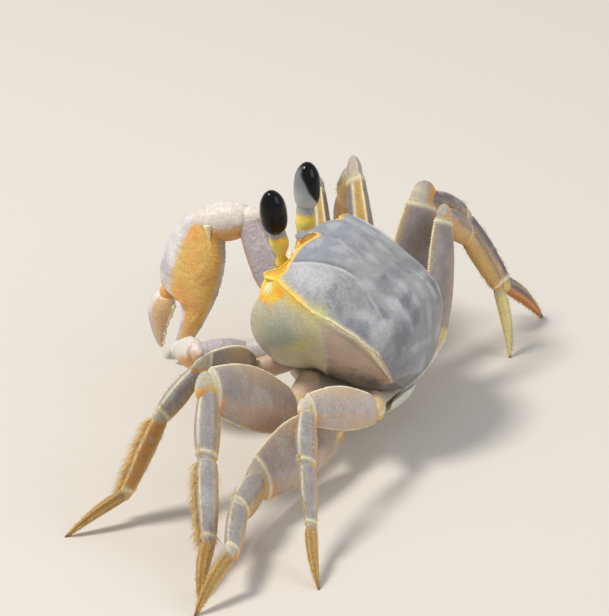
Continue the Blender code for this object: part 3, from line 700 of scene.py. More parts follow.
def back_colours(at, blotch):
    """The back: grey with a blue front, blotches alike on both sides, and painted shade and highlight along
    the grooves and in the pits.
    """
    points, y = at.points, at.y
    colour = coats(
        GREY_LILAC,
        (BLUE_GREY, 0.85 * ramp(y, 3.0, 12.0) * ramp(-at.crease_gap, -0.3, 1.2)),
        (DARK_GREY, 0.34 * ramp(-y, 9.0, 16.0)),
        (PALE_GREY, 0.50 * ramp(blotch, 0.15, 0.60)),
        (DARK_GREY, 0.36 * ramp(-blotch, 0.15, 0.60)))
    wander_x, wander_y = 0.8 * noise(points, 1.8, 21), 0.8 * noise(points, 1.8, 22)
    for centre_x, centre_y, wide, long, tone in BLOTCHES:
        gap_x = (at.aside - centre_x + wander_x) / wide
        gap_y = (y - centre_y + wander_y) / long
        spot = ramp(-(gap_x ** 2 + gap_y ** 2), -1.7, -0.2) * at.on_back
        colour = mix(colour, PALE_GREY if tone > 0.0 else DARK_GREY, 0.80 * abs(tone) * spot)
    flecks = ramp(noise(points, 0.8, 14), 0.15, 0.6)
    return coats(
        colour,
        (WHITE_GREY, 0.40 * at.outer_field * ramp(y, 2.0, 9.0)),
        (DARK_GREY, 0.45 * flecks * at.outer_field * bump(y - 4.0, 5.5)),
        # painted shade in the groove beside the stomach, and a painted highlight on its raised outer lip
        (DARK_GREY, 0.60 * bump(at.crease_gap + 0.4, 0.45) * at.crease_run),
        (WHITE_GREY, 0.80 * bump(at.crease_gap - 0.35, 0.40) * at.crease_run),
        # painted shade in the pits and along the gut line, which the relief sinks
        (DARK_GREY, 0.30 * at.pits + 0.30 * at.gut_line * at.on_back))


def wall_colours(at):
    """The side walls: a pale bulge in front, a rosy field behind the ridge, darker towards the floor."""
    points, y, z, down = at.points, at.y, at.z, at.depth
    streaks = np.sin(9.0 * (z + 0.16 * (y - 9.0) ** 2) + 2.0 * noise(points, 2.5, 18))
    # darker towards the floor, and in patches higher up
    darkening_low = ramp(down, 0.40, 0.80) + 0.45 * ramp(noise(points, 1.5, 17), 0.0, 0.6) * ramp(down, 0.15, 0.6)
    return coats(
        WALL_CREAM,
        (WALL_GREEN, bump(np.hypot((y - 7.8) / 1.2, (z + 9.5) / 1.3), 4.6)),
        (WALL_YELLOW, 0.50 * bump(z + 0.4, 1.8) + 0.25 * bump(at.ridge_gap - 0.6, 0.6)),
        (WALL_GREEN, 0.25 * ramp(streaks, 0.3, 1.0) * ramp(y, 3.0, 8.0)),
        (mix(WALL_ROSE, WALL_DARK_BROWN, 0.85 * darkening_low), ramp(-at.ridge_gap, -0.10, 0.18)))


def paint_edges(colour, at, below):
    """Lay the side walls, their pale ridge, a painted shadow under the margin and the cream and yellow
    margin over the back's colours.
    """
    y, margin_gap, in_front = at.y, at.margin_gap, at.in_front
    ridge_line = bump(at.ridge_gap, 0.30) * ramp(-at.depth, -0.95, -0.6)
    margin_tone = mix(CRISP_CREAM, MARGIN_CREAM, ramp(y, -4.0, 4.0))
    green_patch = bump(np.hypot(at.aside - 21.2, (y - 3.4) / 2.2), 1.1)
    return coats(
        colour,
        (wall_colours(at), below * in_front),
        (WHITE_GREY, 0.85 * ridge_line * ramp(at.depth, 0.0, 0.04)),
        # painted shadow: a dark line on the wall just under the margin
        (WALL_DARK_BROWN, 0.45 * bump(margin_gap + 0.75, 0.35) * ramp(-y, -4.0, 0.0) * in_front),
        (margin_tone, 0.9 * bump(margin_gap, 0.42) * in_front * ramp(at.share, 0.02, 0.1)),
        (PATCH_GREEN, 0.7 * green_patch),
        (ORBIT_YELLOW, 0.85 * bump(margin_gap, 0.8) * ramp(y, 4.0, 10.0) * (at.step < 0.6)))


def paint_sockets(colour, at, blotch):
    """Lay yellow round the eye sockets, and the yellow corners with their orange marks and pale spot."""
    def near(place, size):
        return np.linalg.norm((at.mirrored - place) / size, axis=-1)

    socket = ramp(at.step, 0.2, 1.2) * ramp(-at.step, -4.7, -4.0) * at.upper
    brow = ramp(at.share, 0.975, 0.995) * at.on_back * ramp(np.abs(at.across), 0.14, 0.24)
    corner = near((20.6, 15.6, -2.2), (3.0, 3.4, 2.9)) - 0.15 * blotch
    orange = ramp(-near((21.7, 13.4, -0.9), (1.3, 1.5, 1.0)), -1.5, -0.5)
    orange = np.maximum(orange, 0.8 * ramp(-near((21.4, 15.2, -4.7), (2.4, 3.4, 0.5)), -1.4, -0.5))
    orange = np.maximum(orange, 0.7 * ramp(-near((17.4, 18.2, -4.4), (1.6, 1.2, 1.2)), -1.6, -0.5))
    spot = near((20.8, 16.4, -2.1), (1.0, 1.0, 1.0)) + 0.10 * noise(at.points, 0.9, 23)
    return coats(
        colour,
        (ORBIT_YELLOW, 0.92 * socket),
        (ORBIT_ORANGE, 0.7 * socket * ramp(noise(at.points, 2.2, 19), -0.1, 0.5)),
        (ORBIT_YELLOW, 0.85 * brow),
        (ORBIT_YELLOW, 0.95 * ramp(-corner, -1.20, -0.85)),
        (ORBIT_ORANGE, 0.85 * orange),
        (SOCKET_PALE, 0.95 * ramp(-spot, -1.75, -1.25)))


def build_carapace():
    """The whole shell with its colours, and the rows of beads on its edges."""
    at = ShellSurface()
    blotch = noise(at.mirrored, 4.2, 11) * 0.5 + noise(at.points, 2.1, 12) * 0.5
    under_edge = np.where(at.on_wall | (at.step >= 3.0), 1.0, 0.0)
    below = np.where(at.on_back, ramp(-at.margin_gap, 0.0, 0.35), under_edge)
    colour = paint_edges(back_colours(at, blotch), at, below)
    colour = paint_sockets(colour, at, blotch)
    face = ramp(at.step, 4.1, 4.8)
    colour = coats(
        colour,
        (BELLY_WHITE, 0.65 * face),
        (JOINT_YELLOW, 0.5 * face * bump(np.hypot(at.x / 1.6, at.z + 2.5), 3.4)),
        # painted shade: darker at the wall's lowest edge and on the closing under the rear
        (WALL_DARK_BROWN, 0.40 * ramp(at.depth, 0.94, 1.0) * at.on_wall + 0.5 * (at.behind > 0.0)))

    grain = 0.30 + 0.70 * at.outer_field + 0.4 * bump(at.margin_gap, 1.5) - 0.15 * below
    shaped = raise_surface(at.points, shell_relief(at))
    skin("carapace", stand(shaped), colour, grain, SHELL)
    build_margin_beads(shaped, at.share[:, 0], at.step[:, 0])


def build_margin_beads(points, share, step):
    """Rows of beads on the side margins, the brows and the lower edges of the eye sockets."""
    places = np.linspace(0.14, 0.995, 92)
    rows = np.array([np.argmin(np.abs(share - place) + 9.0 * (step > 0.0)) for place in places])
    column_place = np.linspace(-1.0, 1.0, BACK)
    parts = []
    for outward in SIDES.values():
        columns = np.argmin(np.abs(column_place[None] - outward * margin_line(places)[:, None]), axis=1)
        parts.append(points[rows, columns])
    brow = points[np.argmin(np.abs(step - 0.4) + 9.0 * (step <= 0.0)), :BACK]
    lower = points[np.argmin(np.abs(step - 4.0)), :BACK]
    parts.append(brow[np.abs(column_place) > 0.16][::3] + np.array((0.0, 0.10, 0.05)))
    parts.append(lower[np.abs(column_place) > 0.20][::3] + np.array((0.0, 0.15, 0.05)))
    on_margin = np.repeat((True, True, False, False), [len(part) for part in parts])
    centres = np.concatenate(parts)
    tone = mix(CRISP_CREAM, ORBIT_YELLOW, np.where(on_margin, 0.8 * ramp(centres[:, 1], 0.0, 9.0), 0.9))
    centres = stand(centres)
    sizes = np.where(on_margin, 0.22, 0.27) * (1.0 + 0.25 * noise(centres, 0.7, 4))
    beads("carapace_margin_beads", centres, sizes, tone, SHELL)


# ---------------------------------------------------------------- underside

CHEST_SEAMS = (-12.6, -7.4, -2.2, 3.0, 7.6)
CHEST_ROUNDING = 0.62
ABDOMEN_ROOT = [(-18.5, -15.3), (-18.7, -17.2), (-17.8, -19.1)]      # y and z behind the shell
ABDOMEN_SEGMENTS = 7.0


def chest_side(y):
    """Half the width of the breast plate."""
    return 13.4 - 0.011 * (y + 2.5) ** 2


def chest_floor(y):
    """How full the breast plate is at a place along it, and Z of its underside."""
    share = (y - CHEST_REAR_Y) / (CHEST_FRONT_Y - CHEST_REAR_Y)
    girth = np.sin(np.radians(blend(28.0, 152.0, share))) ** 0.5
    return girth, CHEST_FLOOR_Z + 1.6 * (1.0 - girth) + 4.2 * np.maximum(0.0, (-y - 8.0) / 9.0)


def build_underside():
    """The breast plate with its seams, and the abdomen folded under it."""
    y = np.linspace(CHEST_REAR_Y, CHEST_FRONT_Y, 90)
    girth, floor = chest_floor(y)
    half = chest_side(y) * girth
    along_shell = np.clip((y + 14.6) / 24.8, 0.0, 1.0)
    roof = SHELL_FLOOR_Z - GAP + 3.0 * (1.0 - along_shell) ** 3
    roof += (1.0 + FLOOR_HOLLOW) * fullness(along_shell - 0.16)
    turn = circle(96)
    middle, reach = 0.5 * (roof + floor)[:, None], 0.5 * (roof - floor)[:, None]
    points = joined(half[:, None] * squared(np.cos(turn), CHEST_ROUNDING), y[:, None],
                    middle + reach * squared(np.sin(turn), CHEST_ROUNDING))
    aside = np.abs(points[..., 0])
    seams = sum(bump(points[..., 1] - seam - 0.10 * aside, 0.35) for seam in CHEST_SEAMS)
    under = ramp(-np.sin(turn), 0.1, 0.5)[None] * ramp(aside, 2.0, 4.0)
    colour = coats(BELLY_WHITE, (LEG_ROSE, 0.25 + 0.3 * noise(points, 3.0, 2)),
                   # painted shade along the seam grooves, which the relief also sinks
                   (WALL_DARK_BROWN, 0.55 * seams * under))
    shaped = raise_surface(points, -0.35 * seams * under)
    skin("breast_plate", stand(shaped), colour, 0.3, PALE)

    # the folded abdomen, along the middle of the breast plate
    path = ABDOMEN_ROOT + [(place, chest_floor(place)[1] - 1.3) for place in np.arange(-15.0, 4.0, 3.0)]
    share = np.linspace(0.0, 1.0, 110)
    flap_y, flap_z = smooth_table([(i / 9.0, *point) for i, point in enumerate(path)], share)
    inward = unit(joined(0.0, -np.gradient(flap_z), np.gradient(flap_y)))[:, None]
    segment = share * ABDOMEN_SEGMENTS
    joint = (bump(segment - np.round(segment), 0.09) * (np.round(segment) > 0.0))[:, None]
    half = blend(6.2, 1.8, share ** 1.3)[:, None] * (1.0 - 0.05 * joint)
    turn = circle(40)
    thick = 0.6 * np.sin(turn) * (1.0 - 0.45 * joint)
    flap = (joined(half * squared(np.cos(turn), 0.8), flap_y[:, None], flap_z[:, None])
            + inward * thick[..., None])
    tone = mix(BELLY_WHITE, LEG_LILAC, 0.5 * joint)
    skin("abdomen", stand(flap), tone, 0.3, PALE)


def build_mouth():
    """The two plates that close the mouth, each with a groove and a furrow."""
    share = np.linspace(0.0, 1.0, 60)[:, None]
    turn = circle(48)
    outer = swell(share, 5.6, 8.0, 5.6, 0.55)
    x = blend(0.25, outer, 0.5 + 0.5 * squared(np.cos(turn), 0.8))
    groove = bump(share - 0.56, 0.022)
    y = blend(12.6, 15.0, share) + (1.0 - 0.35 * groove) * np.sin(turn)
    z = blend(-18.6, -7.6, share)
    furrow = bump(x - 0.42 * outer, 0.35) * ramp(-share, -0.5, -0.42) * ramp(np.sin(turn), 0.0, 0.4)
    colour = coats(BELLY_WHITE, (JOINT_YELLOW, 0.35 * ramp(share, 0.3, 1.0)),
                   (LEG_OCHRE, 0.6 * groove + 0.5 * furrow))
    for side, outward in SIDES.items():
        shaped = raise_surface(joined(outward * x, y, z), -0.25 * furrow)
        skin(f"{side}_mouth_plate", stand(shaped), colour, 0.5, PALE)


def tube(path, radii, sides=14):
    """A closed tube along a path of points."""
    along = unit(np.gradient(path, axis=0))
    aside = unit(np.cross(along, (0.3, 0.5, 0.81)))
    over = np.cross(along, aside)
    turn, radii = circle(sides), radii[:, None]
    return sweep(path, aside[:, None], radii * np.cos(turn), over[:, None], radii * np.sin(turn))


# both kinds of feeler: foot, lengths of the joints, thickness, tone
FEELERS = (((3.6, 18.6, -7.4), (1.5, 1.3, 2.6), 0.62, JOINT_YELLOW),
           ((1.7, 19.4, -6.6), (1.2, 1.1, 1.4), 0.55, CRISP_CREAM))


def build_feelers():
    """The short feelers between the eyes and the mouth: three joints each, thinner towards the end."""
    share = np.linspace(0.0, 1.0, 9)
    grids = []
    for outward, (place, lengths, girth, tone) in itertools.product(SIDES.values(), FEELERS):
        start = np.array(place) * (outward, 1.0, 1.0)
        heading = unit((outward * 0.5, 0.55, 0.45))
        for length, thick, taper in zip(lengths, (1.0, 0.75, 0.34), (0.0, 0.0, 0.45)):
            path = start + heading * (length * share)[:, None]
            radii = girth * thick * (0.75 + 0.35 * np.sin(math.pi * share) - taper * share)
            grids.append((stand(tube(path, radii)), tone, 0.2))
            start = path[-1]
            heading = unit(heading + (outward * 0.25, 0.05, 0.30))
    grids_piece("feelers", grids, PALE)


# how thick the stalk and the cornea are along their height
STALK_SHAPE = ((0.0, 0.72), (0.10, 0.86), (0.20, 0.74), (0.28, 0.58), (0.38, 0.74), (0.52, 1.10),
               (0.68, 1.26), (0.84, 1.14), (1.0, 1.04))
CORNEA_SHAPE = ((0.0, 0.64), (0.10, 0.86), (0.28, 0.98), (0.48, 1.0), (0.68, 0.92), (0.86, 0.66),
                (0.97, 0.30), (1.0, 0.02))
# where the grey ends on the cornea: share of its height, then how far round from the inner side
CORNEA_STRIP = ((0.0, -0.85), (0.07, -0.60), (0.15, -0.28), (0.25, 0.08), (0.38, 0.40), (0.55, 0.66),
                (0.75, 0.88), (1.0, 1.10))


def build_eyes():
    """Knobbed yellow stalks that carry long black corneas, each with a grey strip down its inner side."""
    turn = circle(56)
    low_share, high_share = np.linspace(-0.06, 1.04, 66), np.linspace(0.0, 1.0, 72)
    inside = np.clip(low_share, 0.0, 1.0)
    (stalk_girth,) = smooth_table(STALK_SHAPE, inside)
    (ball_girth,) = smooth_table(CORNEA_SHAPE, high_share)
    (strip_edge,) = smooth_table(CORNEA_STRIP, high_share)
    for side, outward in SIDES.items():
        foot = stand((outward * EYE_SPACING, *EYE_FOOT))
        lean = unit((outward * EYE_LEAN, 0.0, 1.0))
        side_way = unit(np.cross(lean, (0.0, 1.0, 0.0)))
        front_way = np.cross(side_way, lean)

        def turned(heights, radii, aside, flat):
            centres = foot + lean * heights[:, None] + joined(outward * aside, 0.0, 0.0)
            radii = radii[:, None]
            return sweep(centres, side_way, radii * np.cos(turn), front_way, flat * radii * np.sin(turn))

        stalk = turned(low_share * STALK_LENGTH, stalk_girth * STALK_RADIUS,
                       0.5 * CORNEA_ASIDE * inside ** 2, 1.0)
        place = low_share[:, None] + 0.03 * noise(stalk, 1.2, 2)
        orange = 0.6 * ramp(-place, -0.30, -0.10) + 0.2 * noise(stalk, 1.6, 3)
        tone = coats(STALK_YELLOW, (ORBIT_ORANGE, orange), (STALK_GREEN, 0.6 * bump(place - 0.62, 0.14)),
                     (STALK_GREY, ramp(place, 0.80, 0.94)))
        skin(f"{side}_eye_stalk", stalk, tone, 0.2, STALK)

        ball = turned(STALK_LENGTH + GAP + high_share * CORNEA_LENGTH, ball_girth * CORNEA_RADIUS,
                      CORNEA_ASIDE, 0.97)
        inward = unit((-outward, 0.55, 0.0))
        toward_middle = (side_way @ inward) * np.cos(turn) + (front_way @ inward) * np.sin(turn)
        strip = ramp(toward_middle - strip_edge[:, None] + 0.16 * noise(ball, 1.7, 6), -0.05, 0.14)
        height = high_share[:, None]
        silver = mix(STALK_PALE, STALK_GREY, 1.8 * height)
        tone = mix(CORNEA_BLACK, silver, (0.92 - 0.30 * height) * strip)
        skin(f"{side}_cornea", ball, tone, 0.1, CORNEA)


# ---------------------------------------------------------------- limbs

OUTLINES = {
    "base": ((0.50, 0.52, 0.46, 0.40), (0.50, 0.52, 0.42, 0.40)),
    "merus": ((0.31, 0.55, 0.36, 0.50), (0.29, 0.45, 0.30, 0.45)),
    "carpus": ((0.36, 0.54, 0.44, 0.60), (0.34, 0.46, 0.36, 0.55)),
    "propodus": ((0.46, 0.54, 0.36, 0.35), (0.42, 0.46, 0.32, 0.35)),
    "dactyl": ((0.46, 0.50, 0.11, 0.15), (0.46, 0.50, 0.11, 0.15)),
}
THIN_EDGE = {"base": 1.0, "merus": 1.45, "carpus": 1.10, "propodus": 1.12, "dactyl": 1.0}
# lengthwise ridges: angle from the upper edge, height as a share of the part's depth, width in degrees
RIDGES = {
    "base": (),
    "merus": ((0.0, 0.020, 11.0), (180.0, 0.014, 9.0)),
    "carpus": ((0.0, 0.02, 12.0), (68.0, 0.03, 9.0), (-68.0, 0.03, 9.0)),
    "propodus": ((0.0, 0.03, 11.0), (80.0, 0.04, 8.0), (-80.0, 0.04, 8.0)),
    "dactyl": ((0.0, 0.05, 15.0), (60.0, 0.05, 14.0), (-60.0, 0.05, 14.0), (120.0, 0.05, 14.0),
               (-120.0, 0.05, 14.0), (180.0, 0.05, 15.0)),
}
ROWS = {"base": 30, "merus": 84, "carpus": 44, "propodus": 54, "dactyl": 56}
COLUMNS = {"base": 40, "merus": 64, "carpus": 48, "propodus": 56, "dactyl": 48}
END_ROWS = 12
DACTYL_BOW = 0.05
RIM_PLACE = 0.955             # share of the length at which a part's rim stands
RIM_HEIGHT = 0.045
NEAR_STEP = 0.14              # how much narrower a part is where it sits in the one before
FAR_STEP = 0.10


class LimbPart:
    """One limb part as a grid: rounded ends on its joints, flattened across the limb's plane."""

    def __init__(self, kind, start, end, depth, thickness, plane_normal):
        self.kind = kind
        self.along = unit(end - start)
        up = unit(np.cross(plane_normal, self.along))
        side = np.cross(self.along, up)
        self.length = float(np.linalg.norm(end - start))
        over_shape, under_shape = OUTLINES[kind]
        first = 0.5 * depth * (over_shape[0] + under_shape[0])
        last = 0.5 * depth * (over_shape[2] + under_shape[2])
        angle = np.linspace(0.06, 0.5 * math.pi, END_ROWS, endpoint=False)
        distance = np.concatenate((-first * np.cos(angle), np.linspace(0.0, self.length, ROWS[kind]),
                                   self.length + last * np.cos(angle[::-1])))
        shrink = np.concatenate((np.sin(angle), np.ones(ROWS[kind]), np.sin(angle[::-1])))
        self.share = np.clip(distance / self.length, 0.0, 1.0)
        # each end steps in a little, so that a part seats in the rim of the one before it
        seat = 1.0 - NEAR_STEP * ramp(-self.share, -0.06, -0.015) * (kind != "base")
        seat = seat - FAR_STEP * ramp(self.share, 0.975, 0.995) * (kind != "dactyl")
        rim = RIM_HEIGHT * bump(self.share - RIM_PLACE, 0.022) * (kind not in ("dactyl", "base"))
        scale = (shrink * (seat + rim))[:, None]
        turn = circle(COLUMNS[kind])
        over = swell(self.share, *over_shape) * depth
        under = swell(self.share, *under_shape) * depth
        half_thick = 0.5 * thickness * (over + under) / depth
        reach = np.where(np.cos(turn) > 0.0, over[:, None], under[:, None])
        bow = DACTYL_BOW * self.length if kind == "dactyl" else 0.0
        rise = reach * np.cos(turn) * scale
        aside = half_thick[:, None] * squared(np.sin(turn), THIN_EDGE[kind]) * scale
        self.centre = (start + self.along * distance[:, None]
                       + up * (bow * np.sin(math.pi * self.share))[:, None])
        self.points = sweep(self.centre, up, rise, side, aside)
        self.degrees = (np.degrees(turn) + 180.0) % 360.0 - 180.0
        self.crests = np.zeros(self.points.shape[:2])
        self.height = np.zeros(self.points.shape[:2])
        taper = np.sin(math.pi * np.clip(self.share, 0.04, 0.96)) ** 0.35
        for where, tall, width in RIDGES[kind]:
            gap = (self.degrees - where + 180.0) % 360.0 - 180.0
            crest = bump(gap, width)[None] * taper[:, None]
            self.height += tall * crest * (over + under)[:, None]
            self.crests = np.maximum(self.crests, crest)

    def at(self, share, degrees):
        """Surface points and ways out, at shares of the length and angles from the upper edge."""
        columns = COLUMNS[self.kind]
        row = END_ROWS + share * (ROWS[self.kind] - 1.0)
        column = np.asarray(degrees) % 360.0 / 360.0 * columns
        r, c = np.floor(row).astype(int), np.floor(column).astype(int)
        after = (c + 1) % columns
        u, v = (row - r)[..., None], (column - c)[..., None]
        normals = grid_normals(self.points)
        normals *= np.sign((normals * (self.points - self.centre[:, None])).sum())
        place, way = (blend(blend(grid[r, c % columns], grid[r, after], v),
                            blend(grid[r + 1, c % columns], grid[r + 1, after], v), u)
                      for grid in (self.points, normals))
        return place, unit(way)


# upper and lower colour of each part, and of those that differ on one leg
LIMB_TONES = {
    "base": (LEG_ROSE, BELLY_WHITE),
    "merus": (LEG_LILAC, LEG_ROSE),
    "carpus": (LEG_BLUE, LEG_LILAC),
    "propodus": (LEG_BLUE, LEG_OCHRE),
    "dactyl": (DACTYL_BROWN, LEG_OCHRE),
    ("left", 1, "merus"): (LEG_GREY, LEG_ROSE),
    ("left", 1, "propodus"): (srgb(186, 136, 76), JOINT_ORANGE),
    ("left", 4, "merus"): (srgb(196, 182, 174), LEG_ROSE),
    ("right", 1, "carpus"): (LEG_GREY, srgb(196, 190, 108)),
    ("right", 2, "carpus"): (LEG_GREY, srgb(206, 202, 112)),
    ("right", 3, "carpus"): (srgb(116, 104, 102), srgb(190, 130, 60)),
    ("right", 3, "propodus"): (srgb(112, 103, 108), srgb(190, 130, 70)),
    ("right", 3, "dactyl"): (srgb(92, 96, 114), srgb(196, 120, 66)),
    ("right", 4, "carpus"): (srgb(136, 126, 126), srgb(206, 146, 70)),
    ("right", 4, "propodus"): (srgb(140, 124, 108), srgb(214, 166, 74)),
    ("right", 4, "dactyl"): (srgb(204, 200, 150), srgb(226, 212, 146)),
}


def part_colours(part, number, side):
    """Colour and grain of a part: cloudy grey and rose, cream ridges and rims, orange in the joints."""
    points, share, degrees, kind = part.points, part.share[:, None], part.degrees[None], part.kind
    seed = 40 * number + (7 if side == "left" else 0) + len(kind)
    cloud = 0.6 * noise(points, 4.0, seed) + 0.4 * noise(points, 1.6, seed + 1)
    low = 0.5 - 0.5 * np.cos(np.radians(degrees))
    upper, lower = LIMB_TONES.get((side, number, kind), LIMB_TONES[kind])
    colour = mix(upper, lower, ramp(low + 0.35 * cloud, 0.30, 0.80))
    if kind == "base":
        return mix(colour, JOINT_YELLOW, 0.5 * ramp(share, 0.6, 0.95)), 0.3
    if kind == "dactyl":
        return coats(
            colour,
            (JOINT_YELLOW, 0.35 * part.crests),
            (LEG_LILAC, 0.5 * ramp(-share, -0.16, -0.05)),
            (DACTYL_TIP, 0.8 * ramp(share, 0.93, 0.99))), 0.15
    colour = mix(colour, PALE_GREY, 0.45 * ramp(cloud, 0.15, 0.6))
    if kind == "merus" and side == "left":
        cross_lines = np.sin(TAU * share * part.length / 0.95 + 2.2 * noise(points, 2.0, seed + 3))
        cross_lines = ramp(cross_lines, 0.1, 0.9) * ramp(share, 0.15, 0.4) * ramp(-low, -0.8, -0.4)
        colour = coats(
            colour,
            (LEG_BLUE, 0.50 * ramp(share + 0.3 * cloud, 0.50, 0.95) * ramp(low, 0.05, 0.3)),
            (LEG_OCHRE, 0.50 * bump(share - 0.45 + 0.2 * cloud, 0.30) * ramp(-low, -0.5, -0.1)),
            (LEG_GREY, 0.25 * cross_lines))
    elif kind == "merus":
        along_crest = ramp(share, 0.04, 0.15) * ramp(-share, -0.97, -0.90)
        band = ramp(degrees, -50.0, -40.0) * ramp(-degrees, -40.0, 5.0)
        colour = coats(
            colour,
            (LEG_GREY, 0.60),
            (MERUS_BAND, 0.85 * band * along_crest),
            (CRISP_CREAM, 0.95 * bump(degrees + 52.0, 7.0) * along_crest))
    if kind == "merus":
        crest_tone, under_tone, rim_width = 0.95, 0.0, 0.022
    else:
        crest_tone = 0.14 + 0.46 * bump(degrees, 30.0)
        under_tone = 0.75 * ramp(np.abs(degrees), 76.0, 96.0)
        rim_width = 0.035
    colour = coats(
        colour,
        (CRISP_CREAM, crest_tone * part.crests),
        (LEG_OCHRE, under_tone),
        (CRISP_CREAM, 0.80 * bump(share - RIM_PLACE, rim_width)))

    # the outer side of a joint is shell like the rest; its inner side shows orange skin
    ends = np.maximum(ramp(share, 0.972, 0.99), ramp(-share, -0.08, -0.03))
    inner = ramp(low + 0.15 * cloud, 0.30, 0.58)
    colour = coats(
        colour,
        (mix(upper, CRISP_CREAM, 0.35 + 0.4 * cloud), ends * (1.0 - inner)),
        (mix(JOINT_ORANGE, JOINT_YELLOW, 0.4 + cloud), ends * inner),
        (JOINT_ORANGE, 0.8 * bump(share - 0.91, 0.025) * ramp(low, 0.45, 0.8)))
    return colour, 0.45 + 0.35 * ramp(share, 0.3, 0.9)


def leg_joints(side, number):
    """The joints of a leg from the shell to the tip, which stands on the floor."""
    root, lengths, _ = LEG_SIZES[number]
    turns, lifts = (np.radians(values) for values in LEG_POSES[(side, number)])
    outward = SIDES[side]
    joints = [stand(np.array(root) * (outward, 1.0, 1.0))]
    for i, length in enumerate(lengths):
        length += EXTRA_REACH.get((side, number), 0.0) * (i == 0)
        lift = lifts[i] if i < len(lifts) else -math.asin(joints[-1][2] / length)
        across, ahead = math.cos(lift) * math.cos(turns[i]), math.cos(lift) * math.sin(turns[i])
        joints.append(joints[-1] + length * np.array((outward * across, ahead, math.sin(lift))))
    return joints


def leg_plane_normal(joints):
    """Across the plane in which a leg bends, so that its knee is the upper side."""
    hip, knee, foot = joints[1], joints[2], joints[5]
    bent = np.cross(unit(knee - hip), unit(foot - hip))
    upright = np.cross((0.0, 0.0, 1.0), unit(foot - hip))
    normal = unit(bent + 0.35 * upright * math.copysign(1.0, float(bent @ upright)))
    return -normal if np.cross(normal, knee - hip)[2] < 0.0 else normal


# rows of setae: angle from the upper edge, spread in degrees, count, length, first and last share
SETA_ROWS = {
    "merus": ((180.0, 8.0, 70, 0.7, 0.06, 0.94),),
    "carpus": ((0.0, 9.0, 16, 1.3, 0.84, 0.97), (70.0, 8.0, 30, 0.9, 0.2, 0.95),
               (-70.0, 8.0, 30, 0.9, 0.2, 0.95)),
    "propodus": ((0.0, 10.0, 90, 0.9, 0.05, 0.96), (180.0, 12.0, 100, 1.0, 0.05, 0.96)),
    "dactyl": ((0.0, 9.0, 110, 0.7, 0.05, 0.90), (60.0, 9.0, 90, 0.7, 0.05, 0.90),
               (-60.0, 9.0, 90, 0.7, 0.05, 0.90), (180.0, 9.0, 110, 0.8, 0.05, 0.90)),
}
# the golden brush down the front of the propodus of legs 1 and 2
BRUSH = ((92.0, 30.0, 980, 2.8, 0.04, 0.97), (150.0, 22.0, 420, 2.3, 0.04, 0.97))
BRUSH_LEGS = (1, 2)
CREST_BEAD_STEP = 0.62
UV_TILES = {"merus": 0.0, "carpus": 0.25, "propodus": 0.5, "dactyl": 0.75}      # strips of the OFBake map


def seta_row(part, draws, degrees, spread, count, length, first, last):
    """One row of setae on a part: roots, ways, lengths, droops, places on the map and tones."""
    share = draws.uniform(first, last, count)
    around = degrees + draws.normal(0.0, spread, count)
    root, out = part.at(share, around)
    lean = draws.uniform(0.7, 1.5, count)
    way = out + part.along * lean[:, None] + draws.normal(0.0, 0.18, (count, 3))
    lengths = length * draws.uniform(0.6, 1.2, count)
    droop = part.along * draws.uniform(0.1, 0.35, count)[:, None]
    place = joined(UV_TILES[part.kind] + 0.02 + 0.21 * share,
                   0.02 + 0.96 * ((around + 180.0) % 360.0) / 360.0)
    tone = mix(SETA_GOLD, CRISP_CREAM, draws.uniform(-0.3, 0.6, count))
    return root, way, lengths, droop, place, tone


def build_crest_beads(name, merus):
    """Beads along the upper and the lower crest of a merus."""
    share = np.linspace(0.05, 0.94, int(merus.length / CREST_BEAD_STEP))
    places, ways = merus.at(np.tile(share, 2), np.repeat((0.0, 180.0), len(share)))
    centres = places + 0.05 * ways
    radii = np.repeat((0.29, 0.19), len(share)) * (1.0 + 0.2 * noise(centres, 0.8, 5))
    beads(name, centres, radii, CRISP_CREAM, LEG, sides=6, bands=4)


def build_leg(side, number, draws):
    """A leg's parts, the beads on its merus and its setae."""
    _, _, depths = LEG_SIZES[number]
    joints = leg_joints(side, number)
    normal = leg_plane_normal(joints)
    rows = []
    for i, kind in enumerate(LEG_PARTS):
        part = LimbPart(kind, joints[i], joints[i + 1], depths[i], depths[i] * FLATNESS[i], normal)
        colour, grain = part_colours(part, number, side)
        pebbles = 0.035 * noise(part.points, 0.6, number) + 0.03 * noise(part.points, 1.3, number + 3)
        points = raise_surface(part.points, part.height + pebbles * (kind != "dactyl"))
        points[..., 2] = np.maximum(points[..., 2], 0.0)
        name = f"{side}_leg_{number}_{kind}"
        skin(name, points, colour, grain, LEG)
        if kind == "merus":
            build_crest_beads(f"{name}_crest_beads", part)
        kinds = SETA_ROWS.get(kind, ())
        if kind == "propodus" and number in BRUSH_LEGS:
            kinds += BRUSH
        rows += [seta_row(part, draws, *row) for row in kinds]
    bristles(f"{side}_leg_{number}_setae", *(np.concatenate(column) for column in zip(*rows)))


# ---------------------------------------------------------------- claws

CLAW_ARM_FLATNESS = 0.86
PALM_RIBS = 34.0              # fine ribs along the edges, over the length of the hand
# how thick the moving finger is along its length
FINGER_SHAPE = ((-0.05, 0.2), (-0.03, 0.45), (0.08, 0.86), (0.26, 1.0), (0.5, 0.86), (0.75, 0.6),
                (0.92, 0.34), (0.98, 0.2), (1.0, 0.04))


